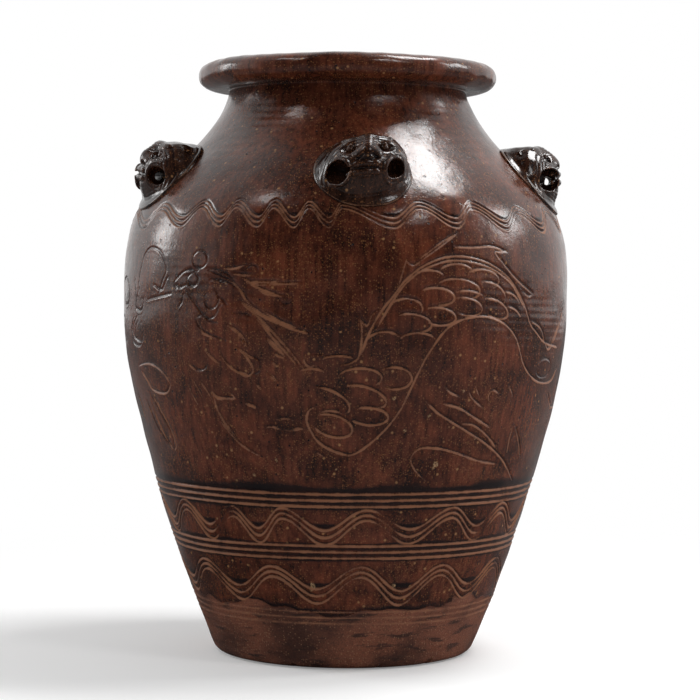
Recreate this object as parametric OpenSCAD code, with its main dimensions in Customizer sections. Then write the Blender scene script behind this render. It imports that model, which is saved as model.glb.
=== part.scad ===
// Stoneware storage jar with four pierced lion-mask lugs, in millimetres.
// The origin is the centre of the foot on the floor, +Z is up and -Y is the front.

/* [Body] */
// Radius of the foot at the floor, before its edge is rounded
foot_r = 127; // [115:1:138]
// Lean of the wall at the foot, in degrees outward from upright
foot_lean = 23; // [18:1:28]
// Rounding of the foot's edge
foot_edge = 7; // [3:0.5:11]
// Height of the flank, halfway up the tapering lower wall
flank_z = 190; // [180:1:205]
// Radius of the flank
flank_r = 193; // [188:1:200]
// Lean of the wall at the flank, in degrees outward
flank_lean = 15; // [12:1:18]
// Height of the widest ring of the belly
belly_z = 338; // [330:1:350]
// Radius of the belly
belly_r = 220.5; // [217:0.5:226]
// Height where the belly turns in to the shoulder
shoulder_z = 428; // [422:1:434]
// Radius there
shoulder_r = 211; // [208:0.5:214]
// Lean of the wall there, in degrees inward
shoulder_lean = 20; // [18:1:24]
// Height of the middle of the sloping shoulder
slope_z = 488; // [484:1:492]
// Radius there
slope_r = 163; // [160:0.5:167]
// Lean of the wall there, in degrees inward
slope_lean = 46; // [43:1:48]
// Height of the neck, where the rim is luted on
neck_z = 556; // [550:1:565]
// Radius of the neck under the rim
neck_r = 117.5; // [114:0.5:122]
// Lean of the wall there, in degrees inward
neck_lean = 11; // [6:1:14]

/* [Clay] */
// Thickness of the wall
wall_t = 9; // [7:0.5:11]
// Thickness of the slab that makes the floor
base_t = 13; // [11:0.5:18]
// Length of the bevel at each luted seam
lap = 6; // [2:0.5:9]
// Height of the seam over the foot
foot_seam_z = 72; // [68:1:78]
// Height of the seam over the combed bands
lower_seam_z = 182; // [178:1:188]
// Height of the seam under the belly
belly_seam_z = 290; // [280:1:300]
// Height of the seam over the belly
upper_seam_z = 398; // [392:1:406]
// Height of the seam over the shoulder
shoulder_seam_z = 516; // [512:1:522]

/* [Rim] */
// Radius of the rolled rim at its widest
rim_r = 148.5; // [144:0.5:153]
// Height of the rim above the neck
rim_h = 27.5; // [24:0.5:32]
// Radius of the rim's crown, its highest ring
crown_r = 128; // [125:0.5:131]
// Length of the straight throat below the rim's crown
throat_l = 12; // [8:0.5:14]

/* [Combed rings] */
// Height of the lowest ring of the band at the foot
foot_rings_z = 46.5; // [44:0.5:50]
// Height of the lowest ring of the middle band
middle_rings_z = 109.5; // [105:0.5:115]
// Height of the lowest ring of the upper band
upper_rings_z = 160; // [156:0.5:163]
// Spacing of the comb's teeth
comb_pitch = 6; // [5:0.25:6.5]
// Radius of one tooth's groove
groove_r = 1.2; // [0.8:0.1:1.6]

/* [Combed waves] */
// Height of the middle of the wave over the foot's rings
lower_wave_z = 85; // [82:0.5:87]
// How far that wave rises and falls from its middle
lower_wave_h = 12; // [6:0.5:13]
// Height of the middle of the wave over the middle rings
upper_wave_z = 142; // [140:0.5:143]
// How far that wave rises and falls from its middle
upper_wave_h = 11; // [6:0.5:12]
// Height of the middle of the wave under the lugs
shoulder_wave_z = 429.5; // [424:0.5:431]
// How far that wave rises and falls from its middle
shoulder_wave_h = 8; // [4:0.5:9]
// Spacing of the teeth of the finer comb used on the shoulder
fine_pitch = 4; // [3.5:0.25:4.5]
// Half the width of a wave's groove at the surface
wave_w = 1.3; // [0.8:0.1:1.5]

/* [Lugs] */
// Turn of the front lug from the front, in degrees to the right
lug_turn = 4.7; // [0:0.1:20]
// Turn of the lugs at the sides from the front one, in degrees
side_turn = 76; // [72:1:90]
// Height of the lugs' centres on the shoulder
lug_z = 465; // [464:0.5:470]
// Angle from the shoulder's normal down to the way the mask faces, in degrees
mask_lean = 42.6; // [38:0.1:50]
// Radius of the clay pad under each mask
pad_r = 46; // [43:0.5:49]
// Thickness of the pad
pad_t = 3.5; // [3:0.1:3.8]
// Radius of the skull's dome
skull_r = 21; // [19:0.5:23]
// Radius of the bowl-shaped jaw
jaw_r = 31; // [29:0.5:33]
// Radius of each cheek
cheek_r = 13; // [12:0.5:14]
// Distance of each cheek from the mask's middle
cheek_x = 24; // [22:0.5:25]
// Radius of the clay bar round the cord hole
bar_r = 15; // [14:0.25:16]
// Radius of the cord hole
cord_r = 4; // [3:0.25:4.5]
// Length of the cord hole between the mouth's corners
cord_l = 28; // [24:0.5:30]
// Turn of the cord hole from the line of the mouth, as it was pierced by hand, in degrees
pierce_turn = 10; // [0:1:12]
// Radius of the open corners of the mouth
corner_r = 10; // [9.5:0.25:10.5]
// Thickness of each lip
lip_t = 6; // [4:0.25:6.5]
// Radius of each eye pellet
eye_r = 4.5; // [3.5:0.25:5]
// Distance of each eye from the mask's middle
eye_x = 13.5; // [12:0.5:15]
// Radius of each ear
ear_r = 6; // [5:0.25:7]
// Distance of each ear from the mask's middle
ear_x = 21; // [19:0.5:24]

/* [Hidden] */
$fn = 96;

// Spacing of the outline's points up the wall
step_z = 9;
// Points of each rounded quarter of the rim
round_steps = 8;
// How square the rim's section is: 2 is an ellipse
rim_squareness = 2.4;
// Teeth of the comb
comb_teeth = 3;
// Straight runs from a wave's crest down to its trough, and again up to the next crest
wave_runs = 4;
// How much closer the teeth lie at a wave's crests than in its troughs, as a share of their spacing
crest_pinch = 0.17;
// How far a wave's cutting solid stands out past the wall
wave_past = 0.7;
// Turns of the waves' crests from the front to the right, in degrees, uneven as a hand makes them
lower_crest_turns = [-53, -24, 6, 34, 63, 93, 124, 153, 185, 214, 246, 276];
upper_crest_turns = [-56, -35, -18.5, 6.6, 34, 56, 79, 101, 124, 147, 168, 191, 214, 236, 259, 281];
shoulder_crest_turns = [-57, -40, -29, -18.5, -9.5, -1, 18.5, 34, 50, 67, 83, 98, 113, 129, 143, 158,
    174, 188, 204, 219, 233, 249, 265, 282];
// Share of each wave that falls, the rest rises
even_fall = 0.5;
shoulder_fall = 0.64;
// Angles where the rounding of the rim's underside and of its throat begin, in degrees
underside_a = -80;
throat_a = 100;
// Extra reach of a cutting solid past what it cuts
past = 1;

GLAZE = [0.27, 0.14, 0.09];
DARK_GLAZE = [0.17, 0.10, 0.07];
BARE_CLAY = [0.42, 0.22, 0.15];

// The wall's outline: height, radius and slope of radius with height at each knot
knots = [
    [0, foot_r, tan(foot_lean)],
    [flank_z, flank_r, tan(flank_lean)],
    [belly_z, belly_r, 0],
    [shoulder_z, shoulder_r, -tan(shoulder_lean)],
    [slope_z, slope_r, -tan(slope_lean)],
    [neck_z, neck_r, -tan(neck_lean)]];

// The smooth curve between two knots, at height z, and its slope
function blend_r(a, b, z) =
    let (l = b[0] - a[0], s = (z - a[0]) / l)
    (2 * pow(s, 3) - 3 * s * s + 1) * a[1] + (pow(s, 3) - 2 * s * s + s) * l * a[2]
    + (3 * s * s - 2 * pow(s, 3)) * b[1] + (pow(s, 3) - s * s) * l * b[2];
function blend_slope(a, b, z) =
    let (l = b[0] - a[0], s = (z - a[0]) / l)
    (6 * s * s - 6 * s) * (a[1] - b[1]) / l + (3 * s * s - 4 * s + 1) * a[2] + (3 * s * s - 2 * s) * b[2];
function span_of(z, i = 0) = i >= len(knots) - 2 || z <= knots[i + 1][0] ? i : span_of(z, i + 1);
function outer_r(z) = let (i = span_of(z)) blend_r(knots[i], knots[i + 1], z);
function slope_at(z) = let (i = span_of(z)) blend_slope(knots[i], knots[i + 1], z);

// A point of the wall at height z, moved out along the wall's normal; inward is negative
function wall_point(z, out = 0) =
    let (m = slope_at(z), n = sqrt(1 + m * m)) [outer_r(z) + out / n, z - out * m / n];
function heights(z0, z1) =
    let (n = max(1, ceil((z1 - z0) / step_z))) [for (i = [0 : n]) z0 + (z1 - z0) * i / n];
function reversed(v) = [for (i = [len(v) - 1 : -1 : 0]) v[i]];

// One quarter of the rim's rounding, from angle a0 to a1 round a centre
function rounded(centre, reach, a0, a1) =
    [for (i = [0 : round_steps]) let (a = a0 + (a1 - a0) * i / round_steps, e = 2 / rim_squareness)
        [centre[0] + reach[0] * sign(cos(a)) * pow(abs(cos(a)), e),
         centre[1] + reach[1] * sign(sin(a)) * pow(abs(sin(a)), e)]];

// A section of the thrown wall between two bevelled seams
module wall_section(z0, z1) {
    rotate_extrude()
        polygon(concat(
            [for (z = heights(z0, z1)) wall_point(z)],
            [for (z = reversed(heights(z0 - lap, z1 - lap))) wall_point(z, -wall_t)]));
}

// One combed band: parallel grooves round the wall
module ring_grooves(lowest_z) {
    for (i = [0 : comb_teeth - 1]) {
        z = lowest_z + i * comb_pitch;
        rotate_extrude() translate([outer_r(z), z]) circle(r = groove_r, $fn = 24);
    }
}

// One tooth's groove along a wave: a ridge of wedges that follows the wall all the way round
module wave_groove(crests, middle, reach, fall, pitch, tooth) {
    n = len(crests);
    path = [for (i = [0 : n - 1], j = [0 : 2 * wave_runs - 1])
        let (next = i == n - 1 ? crests[0] + 360 : crests[i + 1],
            s = j / wave_runs,
            share = s < 1 ? fall * s : fall + (1 - fall) * (s - 1),
            up = cos(180 * s))
        [crests[i] + (next - crests[i]) * share,
            middle + reach * up + tooth * pitch * (1 - crest_pinch * up)]];
    wide = wave_w * (groove_r + wave_past) / groove_r;
    section = [[-groove_r, 0], [wave_past, -wide], [wave_past, wide]];
    points = [for (at = path, corner = section)
        let (p = wall_point(at[1] + corner[1], corner[0])) [p[0] * sin(at[0]), -p[0] * cos(at[0]), p[1]]];
    last = len(path);
    faces = [for (i = [0 : last - 1], k = [0 : 2])
        let (a = 3 * i, b = 3 * ((i + 1) % last), k2 = (k + 1) % 3)
        each [[a + k, a + k2, b + k2], [a + k, b + k2, b + k]]];
    polyhedron(points, faces);
}

// A combed wave round the wall
module wave_grooves(crests, middle, reach, fall, pitch) {
    for (i = [0 : comb_teeth - 1])
        wave_groove(crests, middle, reach, fall, pitch, i - (comb_teeth - 1) / 2);
}

// The solid inside the wall's outside, grown by out, at the height of the lugs
module shoulder_core(out) {
    zs = heights(lug_z - pad_r - 3 * past, min(lug_z + pad_r + 3 * past, neck_z));
    rotate_extrude()
        polygon(concat([[0, zs[0]]], [for (z = zs) wall_point(z, out)], [[0, neck_z]]));
}

module base_disc() {
    // The edge's arc touches the floor and the leaning wall
    reach = foot_edge / tan((90 + foot_lean) / 2);
    color(BARE_CLAY)
        rotate_extrude()
            polygon(concat(
                [[0, 0]],
                [for (i = [0 : round_steps]) let (a = -90 + (90 - foot_lean) * i / round_steps)
                    [foot_r - reach + foot_edge * cos(a), foot_edge + foot_edge * sin(a)]],
                [[outer_r(base_t), base_t], [0, base_t]]));
}

module foot_wall() {
    inner = wall_point(base_t, -wall_t);
    color(BARE_CLAY)
        difference() {
            rotate_extrude()
                polygon(concat(
                    [for (z = heights(base_t, foot_seam_z)) wall_point(z)],
                    [for (z = reversed(heights(base_t, foot_seam_z - lap))) wall_point(z, -wall_t)],
                    [[inner[0], base_t]]));
            ring_grooves(foot_rings_z);
        }
}

module lower_wall() {
    color(GLAZE)
        difference() {
            wall_section(foot_seam_z, lower_seam_z);
            ring_grooves(middle_rings_z);
            ring_grooves(upper_rings_z);
            wave_grooves(lower_crest_turns, lower_wave_z, lower_wave_h, even_fall, comb_pitch);
            wave_grooves(upper_crest_turns, upper_wave_z, upper_wave_h, even_fall, comb_pitch);
        }
}

module belly_wall() {
    color(GLAZE) wall_section(lower_seam_z, belly_seam_z);
}

module upper_wall() {
    color(GLAZE) wall_section(belly_seam_z, upper_seam_z);
}

module shoulder() {
    color(GLAZE)
        difference() {
            wall_section(upper_seam_z, shoulder_seam_z);
            wave_grooves(shoulder_crest_turns, shoulder_wave_z, shoulder_wave_h, shoulder_fall, fine_pitch);
        }
}

// The mouth's radius is the inside of the neck's top
mouth_r = neck_r - wall_t;

module neck() {
    color(GLAZE)
        rotate_extrude()
            polygon(concat(
                [for (z = heights(shoulder_seam_z, neck_z)) wall_point(z)],
                [[mouth_r, neck_z]],
                [for (z = reversed(heights(shoulder_seam_z - lap, neck_z - lap))) wall_point(z, -wall_t)]));
}

module rim() {
    rim_top = neck_z + rim_h;
    throat_top = neck_z + throat_l;
    color(GLAZE)
        rotate_extrude()
            polygon(concat(
                [[mouth_r, neck_z], [neck_r, neck_z]],
                rounded([crown_r, neck_z + rim_h / 2], [rim_r - crown_r, rim_h / 2], underside_a, 90),
                rounded([crown_r, throat_top], [crown_r - mouth_r, rim_top - throat_top], throat_a, 180)));
}

// Where the lugs sit: the point of the shoulder under each mask's middle
lug_r = outer_r(lug_z);
// The normal of the shoulder there, in degrees above level
lug_rise = atan(-slope_at(lug_z));

// Places of the mask's parts from that point: out from the jar's axis, and up
skull_at = [-9, 12];
brow_at = [5, 25];
brow_r = 7;
brow_x = 10;
muzzle_tip_at = [19, 14];
muzzle_tip_r = 6.5;
muzzle_root_at = [1, 17];
muzzle_root_r = 9;
muzzle_x = 8;
jaw_at = [-1, -2];
jaw_top = 1.5;
cheek_at = [4, 2];
bar_at = [10, 1];
bar_l = cord_l + 6;
cord_at = [12.5, 2.5];
corner_at = [16.5, 1];
upper_lip_at = [24.5, 8.5];
lower_lip_at = [27, -1];
lip_l = cord_l;
eye_at = [9, 20.5];
// The ears sit on the pad: how far up the slope, and their centres' height over the pad
ear_up = 16.5;
ear_lift = 1.8;

// Turns a lug made at the front to its side of the jar: 0 front, 1 right, 2 back, 3 left
module on_side(i) {
    rotate([0, 0, lug_turn + [0, side_turn, 180, -side_turn][i]]) children();
}

// Moves a piece to its place on the front mask, which leans with the shoulder
module on_mask(at, x = 0) {
    translate([0, -lug_r, lug_z])
        rotate([mask_lean - lug_rise, 0, 0])
            translate([x, -at[0], at[1]]) children();
}

// The same piece on both sides of the mask
module both_sides(at, x) {
    for (side = [-1, 1]) on_mask(at, side * x) children();
}

// Moves what lies along the x axis to the line of the cord hole
module along_cord() {
    on_mask(cord_at) rotate([0, 0, pierce_turn]) children();
}

// A tapering roll of clay that lies across the mask
module clay_roll(at, l, t) {
    tip = t / 6;
    on_mask(at)
        rotate([0, 90, 0])
            rotate_extrude($fn = 48)
                polygon(concat(
                    [[0, -l / 2]],
                    [for (i = [-4 : 4]) let (y = i / 4) [tip + (t / 2 - tip) * sqrt(1 - y * y), y * l / 2]],
                    [[0, l / 2]]));
}

module lug_pad() {
    color(DARK_GLAZE)
        intersection() {
            difference() {
                shoulder_core(pad_t);
                shoulder_core(0);
            }
            on_mask([0, 0]) rotate([90 - lug_rise, 0, 0]) cylinder(r = pad_r, h = 8 * pad_t, center = true);
        }
}

module lips_clay() {
    clay_roll(upper_lip_at, lip_l, lip_t);
    clay_roll(lower_lip_at, lip_l, lip_t);
}

module eyes_clay() {
    both_sides(eye_at, eye_x) sphere(r = eye_r, $fn = 32);
}

module ears_clay() {
    seat = wall_point(lug_z + ear_up, pad_t + ear_lift);
    for (side = [-1, 1])
        translate([side * ear_x, -sqrt(seat[0] * seat[0] - ear_x * ear_x), seat[1]])
            sphere(r = ear_r, $fn = 32);
}

module mask_clay() {
    on_mask(skull_at) sphere(r = skull_r, $fn = 48);
    both_sides(brow_at, brow_x) sphere(r = brow_r, $fn = 32);
    both_sides(cheek_at, cheek_x) sphere(r = cheek_r, $fn = 32);
    hull() {
        both_sides(muzzle_tip_at, muzzle_x) sphere(r = muzzle_tip_r, $fn = 32);
        both_sides(muzzle_root_at, muzzle_x) sphere(r = muzzle_root_r, $fn = 32);
    }
    intersection() {
        on_mask(jaw_at) sphere(r = jaw_r, $fn = 64);
        on_mask([0, jaw_top - jaw_r]) cube([3 * jaw_r, 3 * jaw_r, 2 * jaw_r], center = true);
    }
    on_mask(bar_at) rotate([0, 90, 0]) cylinder(r = bar_r, h = bar_l, center = true);
}

module lug_head() {
    corner_l = 2 * cheek_r + pad_r;
    corner_from_cord = [cord_at[0] - corner_at[0], corner_at[1] - cord_at[1]];
    color(DARK_GLAZE)
        difference() {
            mask_clay();
            shoulder_core(pad_t);
            along_cord() rotate([0, 90, 0]) cylinder(r = cord_r, h = cord_l + 2 * past, center = true);
            for (side = [-1, 1])
                along_cord()
                    translate([side * (cord_l + corner_l) / 2, corner_from_cord[0], corner_from_cord[1]])
                        rotate([0, 90, 0]) cylinder(r = corner_r, h = corner_l, center = true);
            lips_clay();
            eyes_clay();
            ears_clay();
        }
}

module lug_lips() {
    color(DARK_GLAZE) lips_clay();
}

module lug_eyes() {
    color(DARK_GLAZE) eyes_clay();
}

module lug_ears() {
    color(DARK_GLAZE)
        difference() {
            ears_clay();
            shoulder_core(pad_t);
        }
}

base_disc();
foot_wall();
lower_wall();
belly_wall();
upper_wall();
shoulder();
neck();
rim();
on_side(0) lug_pad();  // lug_front_pad
on_side(0) lug_head();  // lug_front_head
on_side(0) lug_lips();  // lug_front_lips
on_side(0) lug_eyes();  // lug_front_eyes
on_side(0) lug_ears();  // lug_front_ears
on_side(1) lug_pad();  // lug_right_pad
on_side(1) lug_head();  // lug_right_head
on_side(1) lug_lips();  // lug_right_lips
on_side(1) lug_eyes();  // lug_right_eyes
on_side(1) lug_ears();  // lug_right_ears
on_side(2) lug_pad();  // lug_back_pad
on_side(2) lug_head();  // lug_back_head
on_side(2) lug_lips();  // lug_back_lips
on_side(2) lug_eyes();  // lug_back_eyes
on_side(2) lug_ears();  // lug_back_ears
on_side(3) lug_pad();  // lug_left_pad
on_side(3) lug_head();  // lug_left_head
on_side(3) lug_lips();  // lug_left_lips
on_side(3) lug_eyes();  // lug_left_eyes
on_side(3) lug_ears();  // lug_left_ears
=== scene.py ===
"""Looks of a glazed stoneware storage jar with four pierced lion-mask lugs.

The wall is one grid of rings, carved and luted in real sizes, then parted into the pieces it was thrown in.
Sizes are in millimetres until a mesh is made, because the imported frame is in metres. The front is -Y.
"""
import logging
import math
from dataclasses import dataclass, field
from enum import Enum
from typing import Callable, Iterable

import bpy
import numpy as np
from mathutils import Matrix, Vector

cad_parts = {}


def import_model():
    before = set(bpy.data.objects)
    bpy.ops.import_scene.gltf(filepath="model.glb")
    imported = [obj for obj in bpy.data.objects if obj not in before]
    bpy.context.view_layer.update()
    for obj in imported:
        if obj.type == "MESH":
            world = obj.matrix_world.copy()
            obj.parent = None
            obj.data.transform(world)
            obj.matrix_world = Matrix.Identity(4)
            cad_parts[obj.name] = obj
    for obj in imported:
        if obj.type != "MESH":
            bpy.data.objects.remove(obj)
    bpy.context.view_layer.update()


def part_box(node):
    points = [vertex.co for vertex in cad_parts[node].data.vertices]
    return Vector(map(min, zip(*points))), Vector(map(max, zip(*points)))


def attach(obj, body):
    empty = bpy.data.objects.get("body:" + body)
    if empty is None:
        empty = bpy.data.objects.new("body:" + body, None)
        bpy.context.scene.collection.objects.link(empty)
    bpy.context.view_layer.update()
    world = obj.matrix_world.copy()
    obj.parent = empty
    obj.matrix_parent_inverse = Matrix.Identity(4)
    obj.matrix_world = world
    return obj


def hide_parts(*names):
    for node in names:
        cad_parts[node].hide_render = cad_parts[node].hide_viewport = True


LOG = logging.getLogger("storage_jar")
MM = 0.001
TAU = 2.0 * math.pi
# Radius at which the lengths round the jar are measured in the decoration
GIRTH_R = 220.0
Array = np.ndarray
Points = tuple[tuple[float, float], ...]
Socket = bpy.types.NodeSocket


class Slot(str, Enum):
    """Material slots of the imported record."""

    BROWN = "brown_glaze"
    POOLED = "pooled_glaze"
    BARE = "bare_stoneware"


class Side(Enum):
    """The four lugs, counted anticlockwise from the front as seen from above."""

    FRONT = 0
    RIGHT = 1
    BACK = 2
    LEFT = 3

    @property
    def word(self) -> str:
        """The side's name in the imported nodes."""
        return self.name.lower()


class Wobble:
    """Seeded smooth unevenness with a spread of one, which closes on itself round the jar."""

    def __init__(self, seed: int, turns: tuple[int, int], length: float, count: int = 14) -> None:
        """Draws the waves.

        Args:
            seed: Seed of the random draw.
            turns: Fewest and most waves round the jar.
            length: Shortest wavelength up the wall, in millimetres.
            count: How many waves are summed.
        """
        draw = np.random.default_rng(seed)
        self.around = draw.integers(turns[0], turns[1] + 1, count)
        self.up = draw.uniform(-1.0, 1.0, count) * TAU / length
        self.start = draw.uniform(0.0, TAU, count)

    def __call__(self, turn: Array, height: Array) -> Array:
        """Unevenness at turns in radians and heights in millimetres, which are broadcast together."""
        total = np.zeros(np.broadcast(turn, height).shape, np.float32)
        for around, up, start in zip(self.around, self.up, self.start):
            total += np.cos(around * turn + (up * height + start)).astype(np.float32)
        return total * math.sqrt(2.0 / len(self.around))


def smooth(value: Array, low: float, high: float) -> Array:
    """Goes from 0 at low to 1 at high with soft ends. High may be the smaller one."""
    share = np.clip((value - low) / (high - low), 0.0, 1.0)
    return share * share * (3.0 - 2.0 * share)


def make_object(name: str, points: Array, faces: list[Array], uvs: list[Array] | None = None) -> bpy.types.Object:
    """Makes a smooth mesh object from points in millimetres.

    Args:
        name: Name of the piece.
        points: Points, one row each.
        faces: Arrays of corner indices, one row a face, each array with its own count of corners.
        uvs: For each array of faces, the place of each corner on the flat map of the piece.

    Returns:
        The new object, linked to the scene.
    """
    mesh = bpy.data.meshes.new(name)
    corners = np.concatenate([batch.ravel() for batch in faces]).astype(np.int32)
    sizes = np.concatenate([np.full(len(batch), batch.shape[1]) for batch in faces])
    mesh.vertices.add(len(points))
    mesh.vertices.foreach_set("co", (np.asarray(points) * MM).astype(np.float32).ravel())
    mesh.loops.add(len(corners))
    mesh.loops.foreach_set("vertex_index", corners)
    mesh.polygons.add(len(sizes))
    mesh.polygons.foreach_set("loop_start", (np.cumsum(sizes) - sizes).astype(np.int32))
    mesh.polygons.foreach_set("use_smooth", np.ones(len(sizes), bool))
    if uvs is not None:
        flat = np.concatenate([batch.reshape(-1, 2) for batch in uvs]).astype(np.float32)
        mesh.uv_layers.new(name="OFBake").uv.foreach_set("vector", flat.ravel())
    mesh.update(calc_edges=True)
    mesh.validate()
    made = bpy.data.objects.new(name, mesh)
    bpy.context.scene.collection.objects.link(made)
    return made


def set_fields(made: bpy.types.Object, fields: dict[str, Array]) -> None:
    """Stores one number per point and field, which the finishes read by name."""
    for name, values in fields.items():
        layer = made.data.attributes.new(name, "FLOAT", "POINT")
        layer.data.foreach_set("value", np.asarray(values, np.float32).ravel())


def dress(made: bpy.types.Object, node: str, material: bpy.types.Material) -> None:
    """Gives a piece its finish and its body, and hides the CAD node that it stands for."""
    made.data.materials.append(material)
    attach(made, "root")
    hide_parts(node)
    LOG.info("%s stands for %s: %d faces", made.name, node, len(made.data.polygons))


class Graph:
    """Adds and joins the nodes of one shader tree."""

    def __init__(self, tree: bpy.types.NodeTree) -> None:
        """Starts on a tree, which is emptied."""
        self.tree = tree
        self.tree.nodes.clear()

    def put(self, kind: str, feeds: dict | None = None, **settings: object) -> bpy.types.Node:
        """Adds a node.

        Args:
            kind: Blender's name for the node type.
            feeds: Values or sockets for its inputs, by name or number.
            **settings: Settings of the node itself.

        Returns:
            The new node.
        """
        node = self.tree.nodes.new(kind)
        for key, value in settings.items():
            setattr(node, key, value)
        for key, value in (feeds or {}).items():
            if isinstance(value, bpy.types.NodeSocket):
                self.tree.links.new(value, node.inputs[key])
            else:
                node.inputs[key].default_value = value
        return node

    def math(self, operation: str, first: Socket | float, second: Socket | float = 0.0) -> Socket:
        """One Math node's result."""
        return self.put("ShaderNodeMath", {0: first, 1: second}, operation=operation).outputs[0]

    def band(self, value: Socket, low: Socket | float, high: Socket | float) -> Socket:
        """Goes smoothly from 0 at low to 1 at high."""
        feeds = {"Value": value, "From Min": low, "From Max": high}
        return self.put("ShaderNodeMapRange", feeds, interpolation_type="SMOOTHSTEP").outputs["Result"]

    def span(self, value: Socket, low: float, high: float) -> Socket:
        """Maps 0 to low and 1 to high."""
        return self.put("ShaderNodeMapRange", {"Value": value, "To Min": low, "To Max": high}).outputs["Result"]

    def mix(self, factor: Socket | float, first: object, second: object, blend: str = "MIX") -> Socket:
        """Mixes two colours."""
        node = self.put("ShaderNodeMix", data_type="RGBA", blend_type=blend, clamp_factor=True)
        for place, value in ((0, factor), (6, first), (7, second)):
            if isinstance(value, bpy.types.NodeSocket):
                self.tree.links.new(value, node.inputs[place])
            else:
                node.inputs[place].default_value = value if place == 0 else (*value, 1.0)
        return node.outputs[2]

    def noise(self, place: Socket, scale: Socket | float, detail: float = 3.0, rough: float = 0.55) -> Socket:
        """Noise between 0 and 1 at features of 1/scale metres."""
        feeds = {"Vector": place, "Scale": scale, "Detail": detail, "Roughness": rough}
        return self.put("ShaderNodeTexNoise", feeds).outputs["Fac"]

    def field(self, name: str) -> Socket:
        """A field stored on the mesh."""
        return self.put("ShaderNodeAttribute", attribute_name=name).outputs["Fac"]

    def group(self, tree: bpy.types.NodeTree, feeds: dict[str, Socket | float]) -> bpy.types.Node:
        """Adds a node group with its feeds."""
        node = self.put("ShaderNodeGroup", node_tree=tree)
        for key, value in {"Place": self.place(), **feeds}.items():
            if isinstance(value, bpy.types.NodeSocket):
                self.tree.links.new(value, node.inputs[key])
            else:
                node.inputs[key].default_value = value
        return node

    def place(self) -> Socket:
        """The place on the jar in metres, which runs on from piece to piece."""
        return self.put("ShaderNodeTexCoord").outputs["Object"]


GroupMaker = Callable[[Graph, bpy.types.Node, bpy.types.Node], None]


def shader_group(name: str, inputs: dict[str, float], outputs: Iterable[str], build: GroupMaker) -> bpy.types.NodeTree:
    """Builds a node group once.

    Args:
        name: The group's name.
        inputs: Its number inputs with their defaults. A place input comes before them.
        outputs: Names of the numbers that it puts out.
        build: Joins the group's nodes between its input and output nodes.

    Returns:
        The group, made now or before.
    """
    if name in bpy.data.node_groups:
        return bpy.data.node_groups[name]
    tree = bpy.data.node_groups.new(name, "ShaderNodeTree")
    tree.interface.new_socket("Place", in_out="INPUT", socket_type="NodeSocketVector")
    for label, value in inputs.items():
        tree.interface.new_socket(label, in_out="INPUT", socket_type="NodeSocketFloat").default_value = value
    for label in outputs:
        tree.interface.new_socket(label, in_out="OUTPUT", socket_type="NodeSocketFloat")
    graph = Graph(tree)
    build(graph, graph.put("NodeGroupInput"), graph.put("NodeGroupOutput"))
    return tree


def speckle_group() -> bpy.types.NodeTree:
    """Iron specks: small spots of uneven size, denser in some patches than in others."""

    def build(graph: Graph, given: bpy.types.Node, out: bpy.types.Node) -> None:
        place, scale = given.outputs["Place"], given.outputs["Scale"]
        cells = graph.put("ShaderNodeTexVoronoi", {"Vector": place, "Scale": scale, "Randomness": 1.0})
        patch = graph.noise(place, graph.math("MULTIPLY", scale, 0.06), 2.0)
        lot = graph.put("ShaderNodeSeparateColor", {"Color": cells.outputs["Color"]}).outputs["Red"]
        chance = graph.math("MULTIPLY", given.outputs["Amount"], graph.span(patch, 0.0, 2.0))
        chosen = graph.math("LESS_THAN", lot, chance)
        reach = graph.math("MULTIPLY", lot, 0.45)
        spot = graph.band(cells.outputs["Distance"], graph.math("ADD", reach, 0.38), 0.12)
        graph.tree.links.new(graph.math("MULTIPLY", spot, chosen), out.inputs["Mask"])

    return shader_group("iron_specks", {"Scale": 400.0, "Amount": 0.3}, ("Mask",), build)


def mottle_group() -> bpy.types.NodeTree:
    """Soft clouds where the glaze lies thicker or thinner."""

    def build(graph: Graph, given: bpy.types.Node, out: bpy.types.Node) -> None:
        place, scale = given.outputs["Place"], given.outputs["Scale"]
        bend = graph.put("ShaderNodeTexNoise", {"Vector": place, "Scale": graph.math("MULTIPLY", scale, 0.6)})
        shift = graph.put("ShaderNodeVectorMath", {0: bend.outputs["Color"], "Scale": 0.03}, operation="SCALE")
        moved = graph.put("ShaderNodeVectorMath", {0: place, 1: shift.outputs[0]}, operation="ADD")
        cloud = graph.noise(moved.outputs[0], scale, 5.0, 0.62)
        half = graph.math("MULTIPLY", given.outputs["Width"], 0.5)
        low = graph.math("SUBTRACT", 0.5, half)
        mask = graph.band(cloud, low, graph.math("ADD", 0.5, half))
        graph.tree.links.new(mask, out.inputs["Mask"])

    return shader_group("glaze_clouds", {"Scale": 25.0, "Width": 0.3}, ("Mask",), build)


def pinhole_group() -> bpy.types.NodeTree:
    """Pinholes where gas broke through the glaze, with a dark pit and a soft raised lip."""

    def build(graph: Graph, given: bpy.types.Node, out: bpy.types.Node) -> None:
        place, scale = given.outputs["Place"], given.outputs["Scale"]
        cells = graph.put("ShaderNodeTexVoronoi", {"Vector": place, "Scale": scale})
        lot = graph.put("ShaderNodeSeparateColor", {"Color": cells.outputs["Color"]}).outputs["Green"]
        chosen = graph.math("LESS_THAN", lot, given.outputs["Amount"])
        pit = graph.math("MULTIPLY", graph.band(cells.outputs["Distance"], 0.26, 0.1), chosen)
        lip = graph.math("MULTIPLY", graph.band(cells.outputs["Distance"], 0.42, 0.26), chosen)
        graph.tree.links.new(pit, out.inputs["Mask"])
        graph.tree.links.new(graph.math("SUBTRACT", graph.math("MULTIPLY", lip, 0.3), pit), out.inputs["Height"])

    return shader_group("glaze_pinholes", {"Scale": 150.0, "Amount": 0.1}, ("Mask", "Height"), build)


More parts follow.
